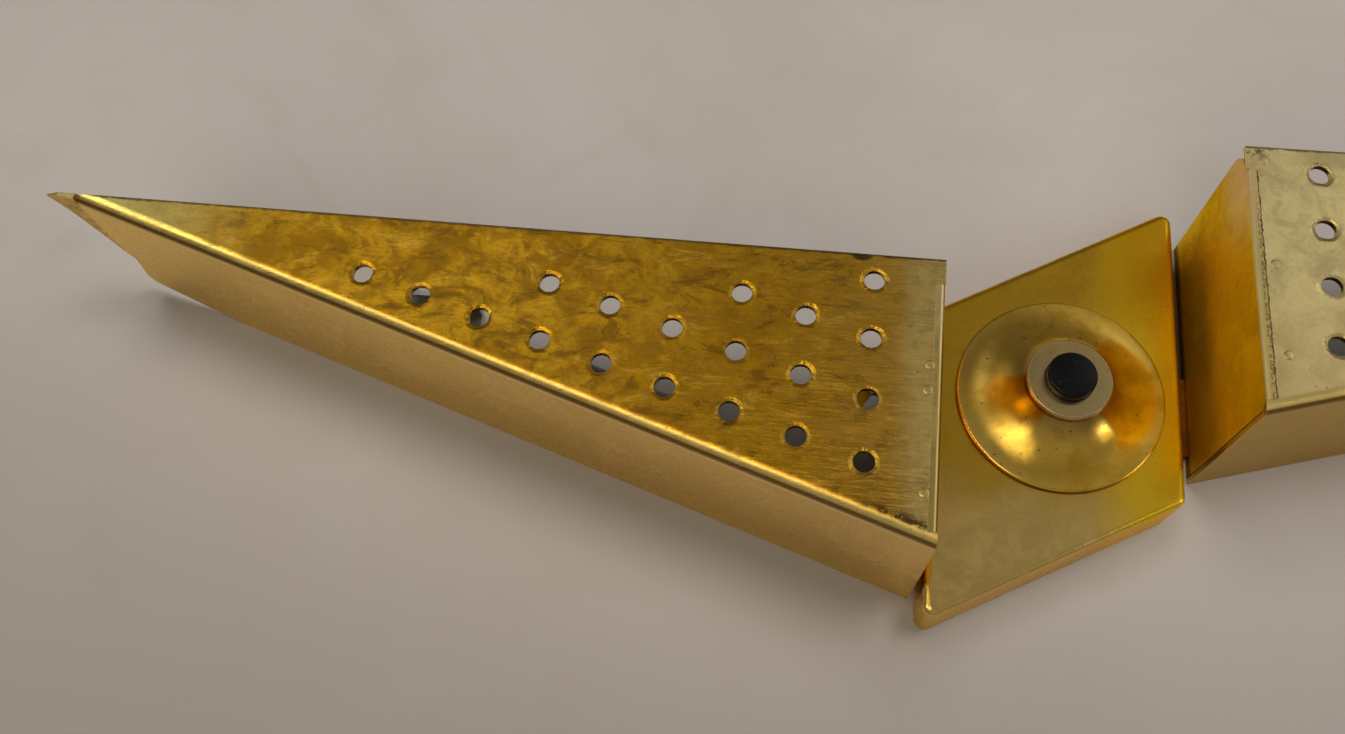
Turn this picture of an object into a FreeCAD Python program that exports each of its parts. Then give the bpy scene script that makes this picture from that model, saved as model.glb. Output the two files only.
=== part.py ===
import FreeCAD, Part

import math
import os

import Sketcher

# Perforated brass wall light: two mirror-image wedge shades on either side of a
# small folded pan that carries a push switch behind a spun rosette.
#
# Frame: the origin is on the switch axis in the back plane. +Z points away from
# the wall, +Y up the wall, +X to the right. Millimetres.
#
# Wing frame: u runs from a wing's wide end towards its tip and y is zero on the
# wing's top edge. Wall frame: s runs along the sloping side wall from the wide
# end, d is the distance from that wall's outer face. The left wing mirrors the
# right one, so every wing piece is built once and given a hand: +1 or -1.

SIZES = {
    # Clearances: threads, joints that touch, sliding and loose fits
    "thread_fit": 0.02,
    "close_fit": 0.05,
    "slide_fit": 0.08,
    "loose_fit": 0.1,
    # Sheet metal of the shades and the pan
    "sheet": 1.0,
    "bend_round": 2.5,
    "wing_width": 54.0,
    "wing_length": 174.0,
    "wing_depth": 40.0,
    "wing_gap": 54.5,
    "wing_centre": 0.9,
    "left_top": 13.5,
    "wing_step": 29.2,
    # Light holes, in rows that rise towards the tip
    "hole_round": 1.9,
    "hole_first": 12.8,
    "hole_pitch": 11.9,
    "hole_drop": 40.3,
    "hole_rise": 3.49,
    "row_pitch": 11.65,
    # End plate: visible strip, lapped flange, rounded upper corner, lanced tab
    "strip_width": 1.7,
    "flange_reach": 10.7,
    "strip_start": 5.0,
    "strip_end": 51.4,
    "flange_end": 48.0,
    "plate_low": 52.6,
    "corner_round": 4.5,
    "strip_round": 0.8,
    "tab_reach": 13.0,
    # Tip: the side wall's foot rises, the wall is cut back and a soldered nose closes it
    "tip_start": 178.0,
    "tip_end": 184.4,
    "tip_thick": 1.3,
    "tip_out": 0.95,
    "tip_nose": 0.3,
    "tip_low": 18.5,
    "tip_first": 179.8,
    "tip_first_height": 26.0,
    "tip_second": 182.1,
    "tip_second_height": 34.0,
    "tip_last_height": 38.6,
    "tip_bevel": 181.6,
    "foot_start": 157.0,
    "foot_end": 177.7,
    "foot_rise": 4.8,
    "foot_bulge": 178.8,
    "foot_neck": 176.7,
    "bulge_height": 6.8,
    "foot_neck_height": 16.0,
    # Hanger strap with its keyhole
    "hang_start": 95.0,
    "hang_end": 111.0,
    "hang_margin": 0.4,
    "hang_height": 0.6,
    "hang_thick": 1.2,
    "hang_tab": 12.0,
    "hang_lip": 10.0,
    "key_place": 103.0,
    "key_drop": 13.0,
    "key_round": 4.0,
    "slot_half": 2.0,
    "slot_top": 5.5,
    # Centre pan
    "pan_x": -0.75,
    "pan_y": -1.3,
    "pan_half_width": 24.25,
    "pan_half_height": 32.2,
    "pan_slope": 0.57735,
    "pan_depth": 13.2,
    "pan_bend": 1.5,
    "pan_corner": 2.0,
    # Notches in the pan and end plates for the spine and its ears
    "notch_low": 6.3,
    "notch_high": 11.1,
    "notch_depth": 2.0,
    # Spine bar, the ears that cover the leads, its screws, nuts and pillars
    "spine_half": 6.0,
    "spine_reach": 12.6,
    "ear_start": 21.4,
    "ear_reach": 1.65,
    "ear_high": 10.8,
    "groove_low": 6.5,
    "groove_high": 10.0,
    "groove_depth": 1.5,
    "drive_slot": 0.7,
    "drive_depth": 0.6,
    "screw_place": 8.0,
    "screw_spread": 3.0,
    "screw_round": 1.45,
    "screw_hole": 1.6,
    "head_round": 2.6,
    "wing_screw_top": 6.0,
    "pan_screw_top": 10.0,
    "nut_half": 2.75,
    "nut_thick": 2.4,
    "pillar_place": 14.0,
    "pillar_round": 3.0,
    # Rosette and collar
    "rosette_round": 20.1,
    "rosette_roll": 0.5,
    "rosette_sheet": 0.8,
    "flare_round": 14.9,
    "neck_round": 7.4,
    "neck_height": 20.0,
    "neck_hole": 6.7,
    "collar_round": 8.2,
    "collar_top": 21.9,
    "collar_lip": 1.0,
    "collar_bevel": 0.35,
    # Switch
    "bush_round": 6.6,
    "bush_bore": 5.66,
    "bush_flange": 8.0,
    "bush_floor": 1.0,
    "bush_low": 10.2,
    "bush_top": 20.8,
    "stem_bore": 2.58,
    "washer_round": 9.0,
    "washer_thick": 0.6,
    "washer_tooth": 1.0,
    "hex_half": 8.0,
    "hex_thick": 2.2,
    "housing_round": 9.5,
    "housing_wall": 1.0,
    "housing_low": 3.2,
    "base_thick": 1.0,
    "post_round": 1.5,
    "post_over": 0.2,
    "button_round": 4.65,
    "button_top": 24.5,
    "button_edge": 0.55,
    "button_dome": 0.3,
    "button_stroke": 2.2,
    "shoulder_round": 5.6,
    "shoulder_thick": 1.2,
    "stem_round": 2.5,
    "stem_socket": 3.2,
    "rotor_round": 7.6,
    "rotor_low": 5.7,
    "rotor_thick": 1.0,
    "rotor_gap": 1.6,
    "rotor_gap_depth": 1.4,
    "bridge_outer": 7.0,
    "bridge_inner": 3.6,
    "bridge_rim": 1.0,
    "bridge_thick": 0.4,
    "spring_mean": 4.0,
    "spring_wire": 0.35,
    "spring_pitch": 1.9,
    "contact_place": 6.2,
    "contact_half": 1.5,
    "contact_top": 5.2,
    "contact_tip": 0.8,
    "contact_thick": 0.4,
    "tail_place": 8.0,
    "tail_low": 1.2,
    "tail_thick": 0.5,
    # Terminal block inside the pan
    "block_y": -19.0,
    "block_half_length": 10.0,
    "block_half_width": 6.2,
    "block_low": 4.2,
    "insert_place": 3.8,
    "insert_half": 2.0,
    "insert_half_length": 9.0,
    "insert_height": 8.2,
    "insert_bore": 1.0,
    "clamp_place": 6.0,
    "clamp_round": 1.25,
    "clamp_low": 4.4,
    "clamp_top": 7.4,
    "block_bush_round": 2.5,
    "block_bush_thick": 2.0,
    "block_screw_round": 1.2,
    "block_screw_low": 2.7,
    "block_screw_top": 11.6,
    # Lamp and its board, in the wall frame
    "board_start": 30.0,
    "board_end": 95.0,
    "board_face": 1.6,
    "board_thick": 1.5,
    "board_low": 3.0,
    "board_high": 25.0,
    "stud_first": 36.0,
    "stud_second": 89.0,
    "stud_height": 14.0,
    "stud_reach": 7.0,
    "lamp_place": 10.8,
    "lamp_height": 14.0,
    "lamp_start": 42.0,
    "lamp_length": 41.0,
    "lamp_round": 5.5,
    "glass_wall": 0.6,
    "cap_round": 4.3,
    "cap_length": 6.2,
    "cap_wall": 0.4,
    "cap_point": 1.2,
    "cap_cone": 2.0,
    "glass_hold": 2.0,
    "glass_neck": 2.3,
    "glass_shoulder": 4.2,
    "filament_round": 0.3,
    "clip_wire": 0.5,
    "clip_width": 3.6,
    "clip_foot": 0.6,
    "clip_top": 6.0,
    "clip_tail": 9.5,
    "clip_stem": 0.8,
    "rivet_round": 1.0,
    "rivet_place": 3.8,
    "rivet_head": 0.5,
    # Insulated leads: where they run and how high
    "lead_round": 0.6,
    "lead_height": 0.75,
    "lead_bend": 1.6,
    "lead_first": 7.4,
    "lead_second": 9.1,
    "lead_entry": 20.0,
    "lead_gutter": 18.6,
    "gutter_height": 4.2,
    "first_riser": 2.8,
    "first_ledge": 8.0,
    "second_riser": 4.5,
    "second_ledge": 9.7,
    "tail_joint": 5.6,
}

# Holes in each row, from the row beside the sloping wall to the top edge.
HOLE_ROWS = (9, 6, 3, 1)
HANDS = {"left": -1, "right": 1}
WASHER_TEETH = 12
ROTOR_TEETH = 8
# How far the drive slot of each next screw is turned, in degrees.
SLOT_TURN = 37
# A rivet head's foot and top, as shares of its shank.
RIVET_HEAD = (1.8, 1.3)
# The lamp clip's mouth: where it starts, ends and half its width there, as shares
# of the ring's inner, outer and outer radius.
CLIP_MOUTH = (0.3, 1.5, 1.1)

doc = FreeCAD.newDocument("wall_light")
nodes = {}


class Size:
    """A length together with the sheet expression that it comes from."""

    def __init__(self, value, text):
        self.value = float(value)
        self.text = text

    def __add__(self, other):
        other = size(other)
        return Size(self.value + other.value, f"({self.text} + {other.text})")

    def __radd__(self, other):
        return size(other) + self

    def __sub__(self, other):
        other = size(other)
        return Size(self.value - other.value, f"({self.text} - {other.text})")

    def __rsub__(self, other):
        return size(other) - self

    def __mul__(self, other):
        other = size(other)
        return Size(self.value * other.value, f"({self.text} * {other.text})")

    def __rmul__(self, other):
        return size(other) * self

    def __truediv__(self, other):
        other = size(other)
        return Size(self.value / other.value, f"({self.text} / {other.text})")

    def __neg__(self):
        return self * -1


def size(number):
    """A plain number as a Size; a Size stays as it is."""
    if isinstance(number, Size):
        return number
    return Size(number, f"({float(number):.9g})")


def root(number):
    return Size(math.sqrt(number.value), f"sqrt({number.text})")


class Sheet:
    """The spreadsheet's cells as Size attributes."""

    def __init__(self, table):
        cells = doc.addObject("Spreadsheet::Sheet", "Sizes")
        for row, (alias, value) in enumerate(table.items(), 1):
            cells.set(f"A{row}", alias)
            cells.set(f"B{row}", str(value))
            cells.setAlias(f"B{row}", alias)
            setattr(self, alias, Size(value, f"Sizes.{alias}"))


S = Sheet(SIZES)
doc.recompute()

SLANT = root(S.wing_width * S.wing_width + S.wing_length * S.wing_length)
COS = S.wing_length / SLANT
SIN = S.wing_width / SLANT
LEAN = math.degrees(math.atan2(S.wing_width.value, S.wing_length.value))
COLLAR_HOLE = S.button_round + S.slide_fit
SHOULDER_TOP = S.collar_top - S.collar_lip - S.close_fit
SHOULDER_LOW = SHOULDER_TOP - S.shoulder_thick
ROTOR_TOP = S.rotor_low + S.rotor_thick
STEM_LOW = ROTOR_TOP + S.button_stroke + S.loose_fit
# How far trimming sketches reach beyond the metal that they cut.
OUTSIDE = 20.0


# ---------------------------------------------------------------- helpers


def bind(thing, name, value):
    thing.setExpression(name, size(value).text)


def place(thing, x=0.0, y=0.0, z=0.0):
    for axis, value in (("x", x), ("y", y), ("z", z)):
        bind(thing, f"Placement.Base.{axis}", value)


def new_body(label):
    body = doc.addObject("PartDesign::Body", label)
    body.Label = label
    return body


def sketch_on(body, name, role, offset=None):
    """A sketch on one of the body's origin planes, moved along its normal."""
    planes = {feature.Role: feature for feature in body.Origin.OriginFeatures}
    sketch = body.newObject("Sketcher::SketchObject", name)
    sketch.AttachmentSupport = (planes[role], [""])
    sketch.MapMode = "FlatFace"
    if offset is not None:
        bind(sketch, "AttachmentOffset.Base.z", offset)
    return sketch


def pin_point(sketch, geometry, end, x, y):
    """Holds a sketch point at (x, y) with two constraints bound to the sheet."""
    for kind, value, axis in (("DistanceX", size(x), -2), ("DistanceY", size(y), -1)):
        if value.value == 0:
            sketch.addConstraint(Sketcher.Constraint("PointOnObject", geometry, end, axis))
            continue
        index = sketch.addConstraint(Sketcher.Constraint(kind, geometry, end, value.value))
        name = f"{kind}_{geometry}_{end}"
        sketch.renameConstraint(index, name)
        bind(sketch, f"Constraints.{name}", value)


def outline(sketch, points):
    """A closed polygon whose corners are all held."""
    first = sketch.GeometryCount
    count = len(points)
    flat = [FreeCAD.Vector(size(x).value, size(y).value, 0) for x, y in points]
    for i in range(count):
        sketch.addGeometry(Part.LineSegment(flat[i], flat[(i + 1) % count]))
    for i in range(count):
        following = first + (i + 1) % count
        sketch.addConstraint(Sketcher.Constraint("Coincident", first + i, 2, following, 1))
    for i, (x, y) in enumerate(points):
        pin_point(sketch, first + i, 1, x, y)


def curved_outline(sketch, corners):
    """A closed outline of (x, y, radius) corners, all held.

    The radius belongs to the arc that leads on to the next corner: positive turns
    anticlockwise about its centre, negative clockwise. A straight line has None or
    no radius.
    """
    corners = [(*corner, None)[:3] for corner in corners]
    spots = [FreeCAD.Vector(size(x).value, size(y).value, 0) for x, y, _ in corners]
    ends = []
    for i, (_, _, radius) in enumerate(corners):
        start, end = spots[i], spots[(i + 1) % len(spots)]
        if radius is None:
            sketch.addGeometry(Part.LineSegment(start, end))
            ends.append((1, 2))
            continue
        bend, turns_left = abs(radius.value), radius.value > 0
        if not turns_left:
            start, end = end, start
        chord = end - start
        inward = FreeCAD.Vector(-chord.y, chord.x, 0).normalize()
        centre = start + chord / 2 + inward * math.sqrt(bend**2 - (chord.Length / 2) ** 2)
        first, last = [math.atan2(p.y - centre.y, p.x - centre.x) for p in (start, end)]
        round_part = Part.Circle(centre, FreeCAD.Vector(0, 0, 1), bend)
        sketch.addGeometry(Part.ArcOfCircle(round_part, first, last))
        ends.append((1, 2) if turns_left else (2, 1))
    for i in range(len(corners)):
        following = (i + 1) % len(corners)
        meeting = (i, ends[i][1], following, ends[following][0])
        sketch.addConstraint(Sketcher.Constraint("Coincident", *meeting))
    for i, (x, y, radius) in enumerate(corners):
        pin_point(sketch, i, ends[i][0], x, y)
        if radius is not None:
            hold_radius(sketch, i, radius if radius.value > 0 else -radius)


def hold_radius(sketch, geometry, radius):
    index = sketch.addConstraint(Sketcher.Constraint("Radius", geometry, radius.value))
    sketch.renameConstraint(index, f"Radius_{geometry}")
    bind(sketch, f"Constraints.Radius_{geometry}", radius)


def rectangle(sketch, x0, x1, y0, y1):
    outline(sketch, [(x0, y0), (x1, y0), (x1, y1), (x0, y1)])


def circle(sketch, x, y, radius):
    radius = size(radius)
    centre = FreeCAD.Vector(size(x).value, size(y).value, 0)
    index = sketch.addGeometry(Part.Circle(centre, FreeCAD.Vector(0, 0, 1), radius.value))
    pin_point(sketch, index, 3, x, y)
    hold_radius(sketch, index, radius)


def hexagon(sketch, x, y, half):
    """A hexagon across whose flats the width is twice half."""
    corner = size(half) / (math.sqrt(3) / 2)
    turns = [math.radians(60 * i) for i in range(6)]
    outline(sketch, [(x + corner * math.cos(t), y + corner * math.sin(t)) for t in turns])


def pad(body, sketch, length, reverse=False):
    feature = body.newObject("PartDesign::Pad", sketch.Name + "_pad")
    feature.Profile = sketch
    feature.Reversed = reverse
    bind(feature, "Length", length)
    doc.recompute()
    return feature


def pocket(body, sketch, length, reverse=False, both=False):
    """Cuts along the sketch's normal reversed, or along it when reverse is set."""
    before = body.Shape.Volume
    feature = body.newObject("PartDesign::Pocket", sketch.Name + "_cut")
    feature.Profile = sketch
    feature.Reversed = reverse
    feature.Midplane = both
    bind(feature, "Length", length)
    doc.recompute()
    if not feature.Shape.Volume < before - 1e-6:
        raise RuntimeError(f"{body.Label}: {feature.Name} cut nothing")
    return feature


def turned(label, points, axis="V_Axis", role="XZ_Plane"):
    """A body turned about the sketch's own axis from a closed profile."""
    body = new_body(label)
    sketch = sketch_on(body, label + "_profile", role)
    curved_outline(sketch, points)
    doc.recompute()
    feature = body.newObject("PartDesign::Revolution", label + "_turn")
    feature.Profile = sketch
    feature.ReferenceAxis = (sketch, [axis])
    feature.Angle = 360
    doc.recompute()
    return body


def drive_slots(body, spots, head, low):
    """Screwdriver slots across round heads whose flat ends face down at low."""
    cut = sketch_on(body, body.Label + "_drive", "XY_Plane", size(low) - 1)
    half = S.drive_slot / 2
    for x, y in spots:
        rectangle(cut, x - head, x + head, y - half, y + half)
    pocket(body, cut, S.drive_depth + 1, reverse=True)


def slab(label, x0, x1, y0, y1, z0, z1):
    """A rectangular body between two corners."""
    body = new_body(label)
    sketch = sketch_on(body, label + "_plan", "XY_Plane", z0)
    rectangle(sketch, x0, x1, y0, y1)
    pad(body, sketch, size(z1) - z0)
    return body


def round_edges(body, base, radius, wanted, kind="Fillet"):
    """Fillets or chamfers the edges of base for which wanted(edge) is true."""
    names = [f"Edge{i}" for i, edge in enumerate(base.Shape.Edges, 1) if wanted(edge)]
    if not names:
        raise RuntimeError(f"{body.Label}: no edge to round")
    feature = body.newObject(f"PartDesign::{kind}", base.Name + "_round")
    feature.Base = (base, names)
    bind(feature, "Radius" if kind == "Fillet" else "Size", radius)
    doc.recompute()
    return feature


def lies(edge, **spots):
    """True when both ends of an edge have the given x, y or z."""
    for axis, target in spots.items():
        for vertex in edge.Vertexes:
            if abs(getattr(vertex.Point, axis) - size(target).value) > 1e-5:
                return False
    return True


def group(label, members):
    """Identical pieces as one node of separate solids."""
    compound = doc.addObject("Part::Compound", label)
    compound.Links = members
    return compound


def node(label, thing):
    thing.Label = label
    nodes[label] = thing
    return thing


# ------------------------------------------------------------ wing frames


def end_x(hand):
    return S.wing_centre + S.wing_gap * (hand / 2)


def top_y(hand):
    if hand < 0:
        return S.left_top
    return S.left_top + S.wing_step


def in_wing_frame(thing, hand):
    place(thing, end_x(hand), top_y(hand), 0)


def in_wall_frame(thing, hand, d=0.0, z=0.0):
    """Puts a body's X axis along the side wall, d inside it and z above the back."""
    turn = FreeCAD.Rotation(FreeCAD.Vector(0, 0, 1), LEAN * hand)
    thing.Placement = FreeCAD.Placement(FreeCAD.Vector(0, 0, 0), turn)
    x = end_x(hand) - size(d) * SIN * hand
    y = top_y(hand) - S.wing_width + size(d) * COS
    place(thing, x, y, z)
    thing.setExpression("Placement.Rotation.Angle", f"{hand} * atan(Sizes.wing_width / Sizes.wing_length)")


def wall_point(hand, u, rise):
    """The wing point at u, rise above the wide end's lower corner, in the wall frame."""
    u, rise = size(u), size(rise)
    return hand * (u * COS + rise * SIN), rise * COS - u * SIN


def wall_inside(u):
    """y of the side wall's inner face at u, in the wing frame."""
    return u * (S.wing_width / S.wing_length) - S.wing_width + S.sheet / COS


# ----------------------------------------------------------- wing pieces


def shade(side, hand):
    """Perforated face and sloping side wall, folded from one sheet."""
    body = new_body(f"{side}_shade")
    in_wall_frame(body, hand)
    profile = sketch_on(body, f"{side}_fold", "YZ_Plane", size(-OUTSIDE * hand))
    face_reach = S.wing_width + OUTSIDE
    outline(
        profile,
        [
            (0, 0),
            (0, S.wing_depth),
            (face_reach, S.wing_depth),
            (face_reach, S.wing_depth - S.sheet),
            (S.sheet, S.wing_depth - S.sheet),
            (S.sheet, 0),
        ],
    )
    folded = pad(body, profile, SLANT + 2 * OUTSIDE, reverse=hand < 0)
    bend = round_edges(body, folded, S.bend_round, lambda e: lies(e, y=0, z=S.wing_depth))
    inner = S.wing_depth - S.sheet
    round_edges(body, bend, S.bend_round - S.sheet, lambda e: lies(e, y=S.sheet, z=inner))

    trim = sketch_on(body, f"{side}_trim", "XY_Plane", size(-OUTSIDE))
    far = S.wing_length + 3 * OUTSIDE
    high = S.wing_width + 5 * OUTSIDE
    outline(
        trim,
        [
            wall_point(hand, 0, -OUTSIDE),
            wall_point(hand, 0, S.wing_width),
            wall_point(hand, far, S.wing_width),
            wall_point(hand, far, high),
            wall_point(hand, -3 * OUTSIDE, high),
            wall_point(hand, -3 * OUTSIDE, -OUTSIDE),
        ],
    )
    pocket(body, trim, S.wing_depth + 2 * OUTSIDE, reverse=True)

    nose = sketch_on(body, f"{side}_nose", "XZ_Plane")
    past = SLANT + 2 * OUTSIDE
    above = S.wing_depth + OUTSIDE
    rake = [
        (S.foot_start, size(-OUTSIDE)),
        (S.foot_start, size(0)),
        (S.foot_end, S.foot_rise),
        (S.foot_bulge, S.bulge_height),
        (S.foot_neck, S.foot_neck_height),
        (S.tip_start, S.tip_low),
        (S.tip_start, above),
        (past, above),
        (past, size(-OUTSIDE)),
    ]
    outline(nose, [(s * hand, z) for s, z in rake])
    pocket(body, nose, 8 * OUTSIDE, both=True)

    seat = sketch_on(body, f"{side}_seat", "XY_Plane", S.wing_depth + S.sheet)
    seat_low = S.wing_width - S.strip_end
    seat_high = S.wing_width - S.strip_start
    outline(
        seat,
        [
            wall_point(hand, -1, seat_low),
            wall_point(hand, S.strip_width, seat_low),
            wall_point(hand, S.strip_width, seat_high),
            wall_point(hand, -1, seat_high),
        ],
    )
    pocket(body, seat, 3 * S.sheet)

    holes = sketch_on(body, f"{side}_holes", "XY_Plane", S.wing_depth + S.sheet)
    for row, count in enumerate(HOLE_ROWS):
        for step in range(count):
            u = S.hole_first + S.hole_pitch * step
            rise = S.wing_width - S.hole_drop + S.hole_rise * step + S.row_pitch * row
            s, d = wall_point(hand, u, rise)
            circle(holes, s, d, S.hole_round)
    pocket(body, holes, 4 * S.sheet)
    return body


def end_plate(side, hand):
    """Flat plate closing the wide end, its flange lapped under the face."""
    body = new_body(f"{side}_end_plate")
    in_wing_frame(body, hand)
    spine = -top_y(hand)
    flip = hand < 0
    shoulder = S.wing_depth - S.sheet
    plate = sketch_on(body, f"{side}_plate", "YZ_Plane")
    corner = S.plate_low - S.strip_end
    outline(
        plate,
        [
            (-S.plate_low, 0),
            (0, 0),
            (0, shoulder),
            (-S.strip_start, shoulder),
            (-S.strip_start, S.wing_depth),
            (-S.strip_end, S.wing_depth),
            (-S.strip_end, shoulder),
            (-S.plate_low, shoulder - corner),
        ],
    )
    flat = pad(body, plate, S.sheet, reverse=flip)
    round_edges(body, flat, S.corner_round, lambda e: lies(e, y=0, z=shoulder))

    strip = sketch_on(body, f"{side}_strip", "XY_Plane", shoulder)
    rectangle(strip, 0.5 * S.sheet * hand, S.strip_width * hand, -S.strip_end, -S.strip_start)
    pad(body, strip, S.sheet)
    flange = sketch_on(body, f"{side}_flange", "XY_Plane", shoulder - S.sheet)
    rectangle(flange, 0.5 * S.sheet * hand, S.flange_reach * hand, -S.flange_end, -S.strip_start)
    lapped = pad(body, flange, S.sheet)
    round_edges(body, lapped, S.strip_round, lambda e: lies(e, x=0, z=S.wing_depth))

    notch = sketch_on(body, f"{side}_notch", "YZ_Plane", size(-hand))
    rectangle(notch, spine - S.notch_low, spine + S.notch_high, size(-1), S.notch_depth)
    pocket(body, notch, 3 * S.sheet, reverse=not flip)
    tab = sketch_on(body, f"{side}_tab", "XY_Plane", S.notch_depth)
    rectangle(tab, 0.5 * S.sheet * hand, S.tab_reach * hand, spine - S.spine_half, spine + S.spine_half)
    pad(body, tab, S.sheet)
    screws = sketch_on(body, f"{side}_tab_holes", "XY_Plane", S.notch_depth + 2 * S.sheet)
    for y in (spine - S.screw_spread, spine + S.screw_spread):
        circle(screws, S.screw_place * hand, y, S.screw_hole)
    pocket(body, screws, 4 * S.sheet)
    return body


def tip_cap(side, hand):
    """Soldered nose that closes the point where face and wall run out."""
    body = new_body(f"{side}_tip_cap")
    in_wall_frame(body, hand)
    plan = sketch_on(body, f"{side}_tip_plan", "XY_Plane", S.tip_low)
    outline(
        plan,
        [
            (S.tip_start * hand, 0),
            (S.tip_end * hand, -S.tip_out),
            (S.tip_end * hand, S.tip_nose - S.tip_out),
            (S.tip_start * hand, S.tip_thick),
        ],
    )
    pad(body, plan, S.wing_depth - S.tip_low)
    past = S.tip_end + 1
    rake = sketch_on(body, f"{side}_tip_rake", "XZ_Plane")
    under = [
        (S.tip_start, S.tip_low),
        (S.tip_first, S.tip_first_height),
        (S.tip_second, S.tip_second_height),
        (S.tip_end, S.tip_last_height),
        (past, S.tip_last_height),
        (past, S.tip_low - 1),
        (S.tip_start, S.tip_low - 1),
    ]
    outline(rake, [(s * hand, z) for s, z in under])
    pocket(body, rake, 6 * S.tip_thick, both=True)
    bevel = sketch_on(body, f"{side}_tip_bevel", "XZ_Plane")
    over = [
        (S.tip_bevel, S.wing_depth),
        (past, S.tip_last_height),
        (past, S.wing_depth + 1),
        (S.tip_bevel, S.wing_depth + 1),
    ]
    outline(bevel, [(s * hand, z) for s, z in over])
    pocket(body, bevel, 6 * S.tip_thick, both=True)
    return body


def hanger_strap(side, hand):
    """Strap across the open back, soldered to the side wall, with a keyhole."""
    body = new_body(f"{side}_hanger_strap")
    in_wing_frame(body, hand)
    plate = sketch_on(body, f"{side}_strap", "XY_Plane", S.hang_height)
    outline(
        plate,
        [
            (S.hang_start * hand, wall_inside(S.hang_start)),
            (S.hang_end * hand, wall_inside(S.hang_end)),
            (S.hang_end * hand, -S.hang_margin),
            (S.hang_start * hand, -S.hang_margin),
        ],
    )
    pad(body, plate, S.hang_thick)
    foot = sketch_on(body, f"{side}_strap_foot", "XY_Plane", S.hang_height)
    rise = S.hang_thick / COS
    outline(
        foot,
        [
            (S.hang_start * hand, wall_inside(S.hang_start)),
            (S.hang_end * hand, wall_inside(S.hang_end)),
            (S.hang_end * hand, wall_inside(S.hang_end) + rise),
            (S.hang_start * hand, wall_inside(S.hang_start) + rise),
        ],
    )
    pad(body, foot, S.hang_tab - S.hang_height)
    lip = sketch_on(body, f"{side}_strap_lip", "XY_Plane", S.hang_height)
    low = -S.hang_margin - S.hang_thick
    rectangle(lip, S.hang_start * hand, S.hang_end * hand, low, -S.hang_margin)
    pad(body, lip, S.hang_lip - S.hang_height)
    key = sketch_on(body, f"{side}_key", "XY_Plane", size(-1))
    circle(key, S.key_place * hand, -S.key_drop, S.key_round)
    pocket(body, key, 3 * S.hang_thick, reverse=True)
    slot = sketch_on(body, f"{side}_slot", "XY_Plane", size(-1))
    left = S.key_place * hand - S.slot_half
    rectangle(slot, left, left + 2 * S.slot_half, -S.key_drop, -S.slot_top - S.slot_half)
    pocket(body, slot, 3 * S.hang_thick, reverse=True)
    end = sketch_on(body, f"{side}_slot_end", "XY_Plane", size(-1))
    circle(end, S.key_place * hand, -S.slot_top - S.slot_half, S.slot_half)
    pocket(body, end, 3 * S.hang_thick, reverse=True)
    return body


def lamp_board(side, hand):
    """Fibre strip that carries the two lamp clips."""
    body = new_body(f"{side}_lamp_board")
    in_wall_frame(body, hand)
    plan = sketch_on(body, f"{side}_board", "XZ_Plane", -S.board_face)
    rectangle(plan, S.board_start * hand, S.board_end * hand, S.board_low, S.board_high)
    pad(body, plan, S.board_thick, reverse=True)
    holes = sketch_on(body, f"{side}_board_holes", "XZ_Plane", -S.board_face - 2 * S.board_thick)
    for s in (S.stud_first, S.stud_second):
        circle(holes, s * hand, S.stud_height, S.screw_hole)
    for s in clip_places():
        circle(holes, s * hand, S.lamp_height + S.rivet_place, S.rivet_round)
    pocket(body, holes, 4 * S.board_thick, reverse=True)
    return body


def clip_places():
    """s of the middle of each lamp clip."""
    inset = S.cap_length / 2 + 1
    return S.lamp_start + inset, S.lamp_start + S.lamp_length - inset


def wall_turned(label, hand, s, z, profile):
    """A turned piece standing square to the side wall at s, z: profile in (r, d)."""
    body = turned(label, profile)
    lay = FreeCAD.Rotation(FreeCAD.Vector(1, 0, 0), -90)
    about = FreeCAD.Rotation(FreeCAD.Vector(0, 0, 1), LEAN * hand)
    body.Placement = FreeCAD.Placement(FreeCAD.Vector(0, 0, 0), about.multiply(lay))
    place(body, end_x(hand) + s * COS * hand, top_y(hand) - S.wing_width + s * SIN, z)
    return body


def board_studs(side, hand):
    """Studs soldered inside the side wall, with a spacing flange."""
    profile = [
        (0, S.sheet),
        (2 * S.screw_round, S.sheet),
        (2 * S.screw_round, S.board_face),
        (S.screw_round, S.board_face),
        (S.screw_round, S.stud_reach),
        (0, S.stud_reach),
    ]
    places = (("a", S.stud_first), ("b", S.stud_second))
    studs = [wall_turned(f"{side}_stud_{n}", hand, s, S.stud_height, profile) for n, s in places]
    return group(f"{side}_board_studs", studs)


def board_nuts(side, hand):
    body = new_body(f"{side}_board_nuts_body")
    in_wall_frame(body, hand)
    face = S.board_face + S.board_thick
    plan = sketch_on(body, f"{side}_nuts", "XZ_Plane", -face)
    for s in (S.stud_first, S.stud_second):
        hexagon(plan, s * hand, S.stud_height, S.nut_half)
        circle(plan, s * hand, S.stud_height, S.screw_round + S.thread_fit)
    pad(body, plan, S.nut_thick, reverse=True)
    return body


def clip_rivets(side, hand):
    """Rivets through the clip feet and the board."""
    face = S.board_face + S.board_thick + S.clip_foot
    shank = S.rivet_round - S.thread_fit
    profile = [
        (0, S.board_face),
        (shank, S.board_face),
        (shank, face),
        (S.rivet_round * RIVET_HEAD[0], face),
        (S.rivet_round * RIVET_HEAD[1], face + S.rivet_head),
        (0, face + S.rivet_head),
    ]
    height = S.lamp_height + S.rivet_place
    rivets = [
        wall_turned(f"{side}_rivet_{n}", hand, s, height, profile)
        for n, s in zip("ab", clip_places())
    ]
    return group(f"{side}_clip_rivets", rivets)


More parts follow.
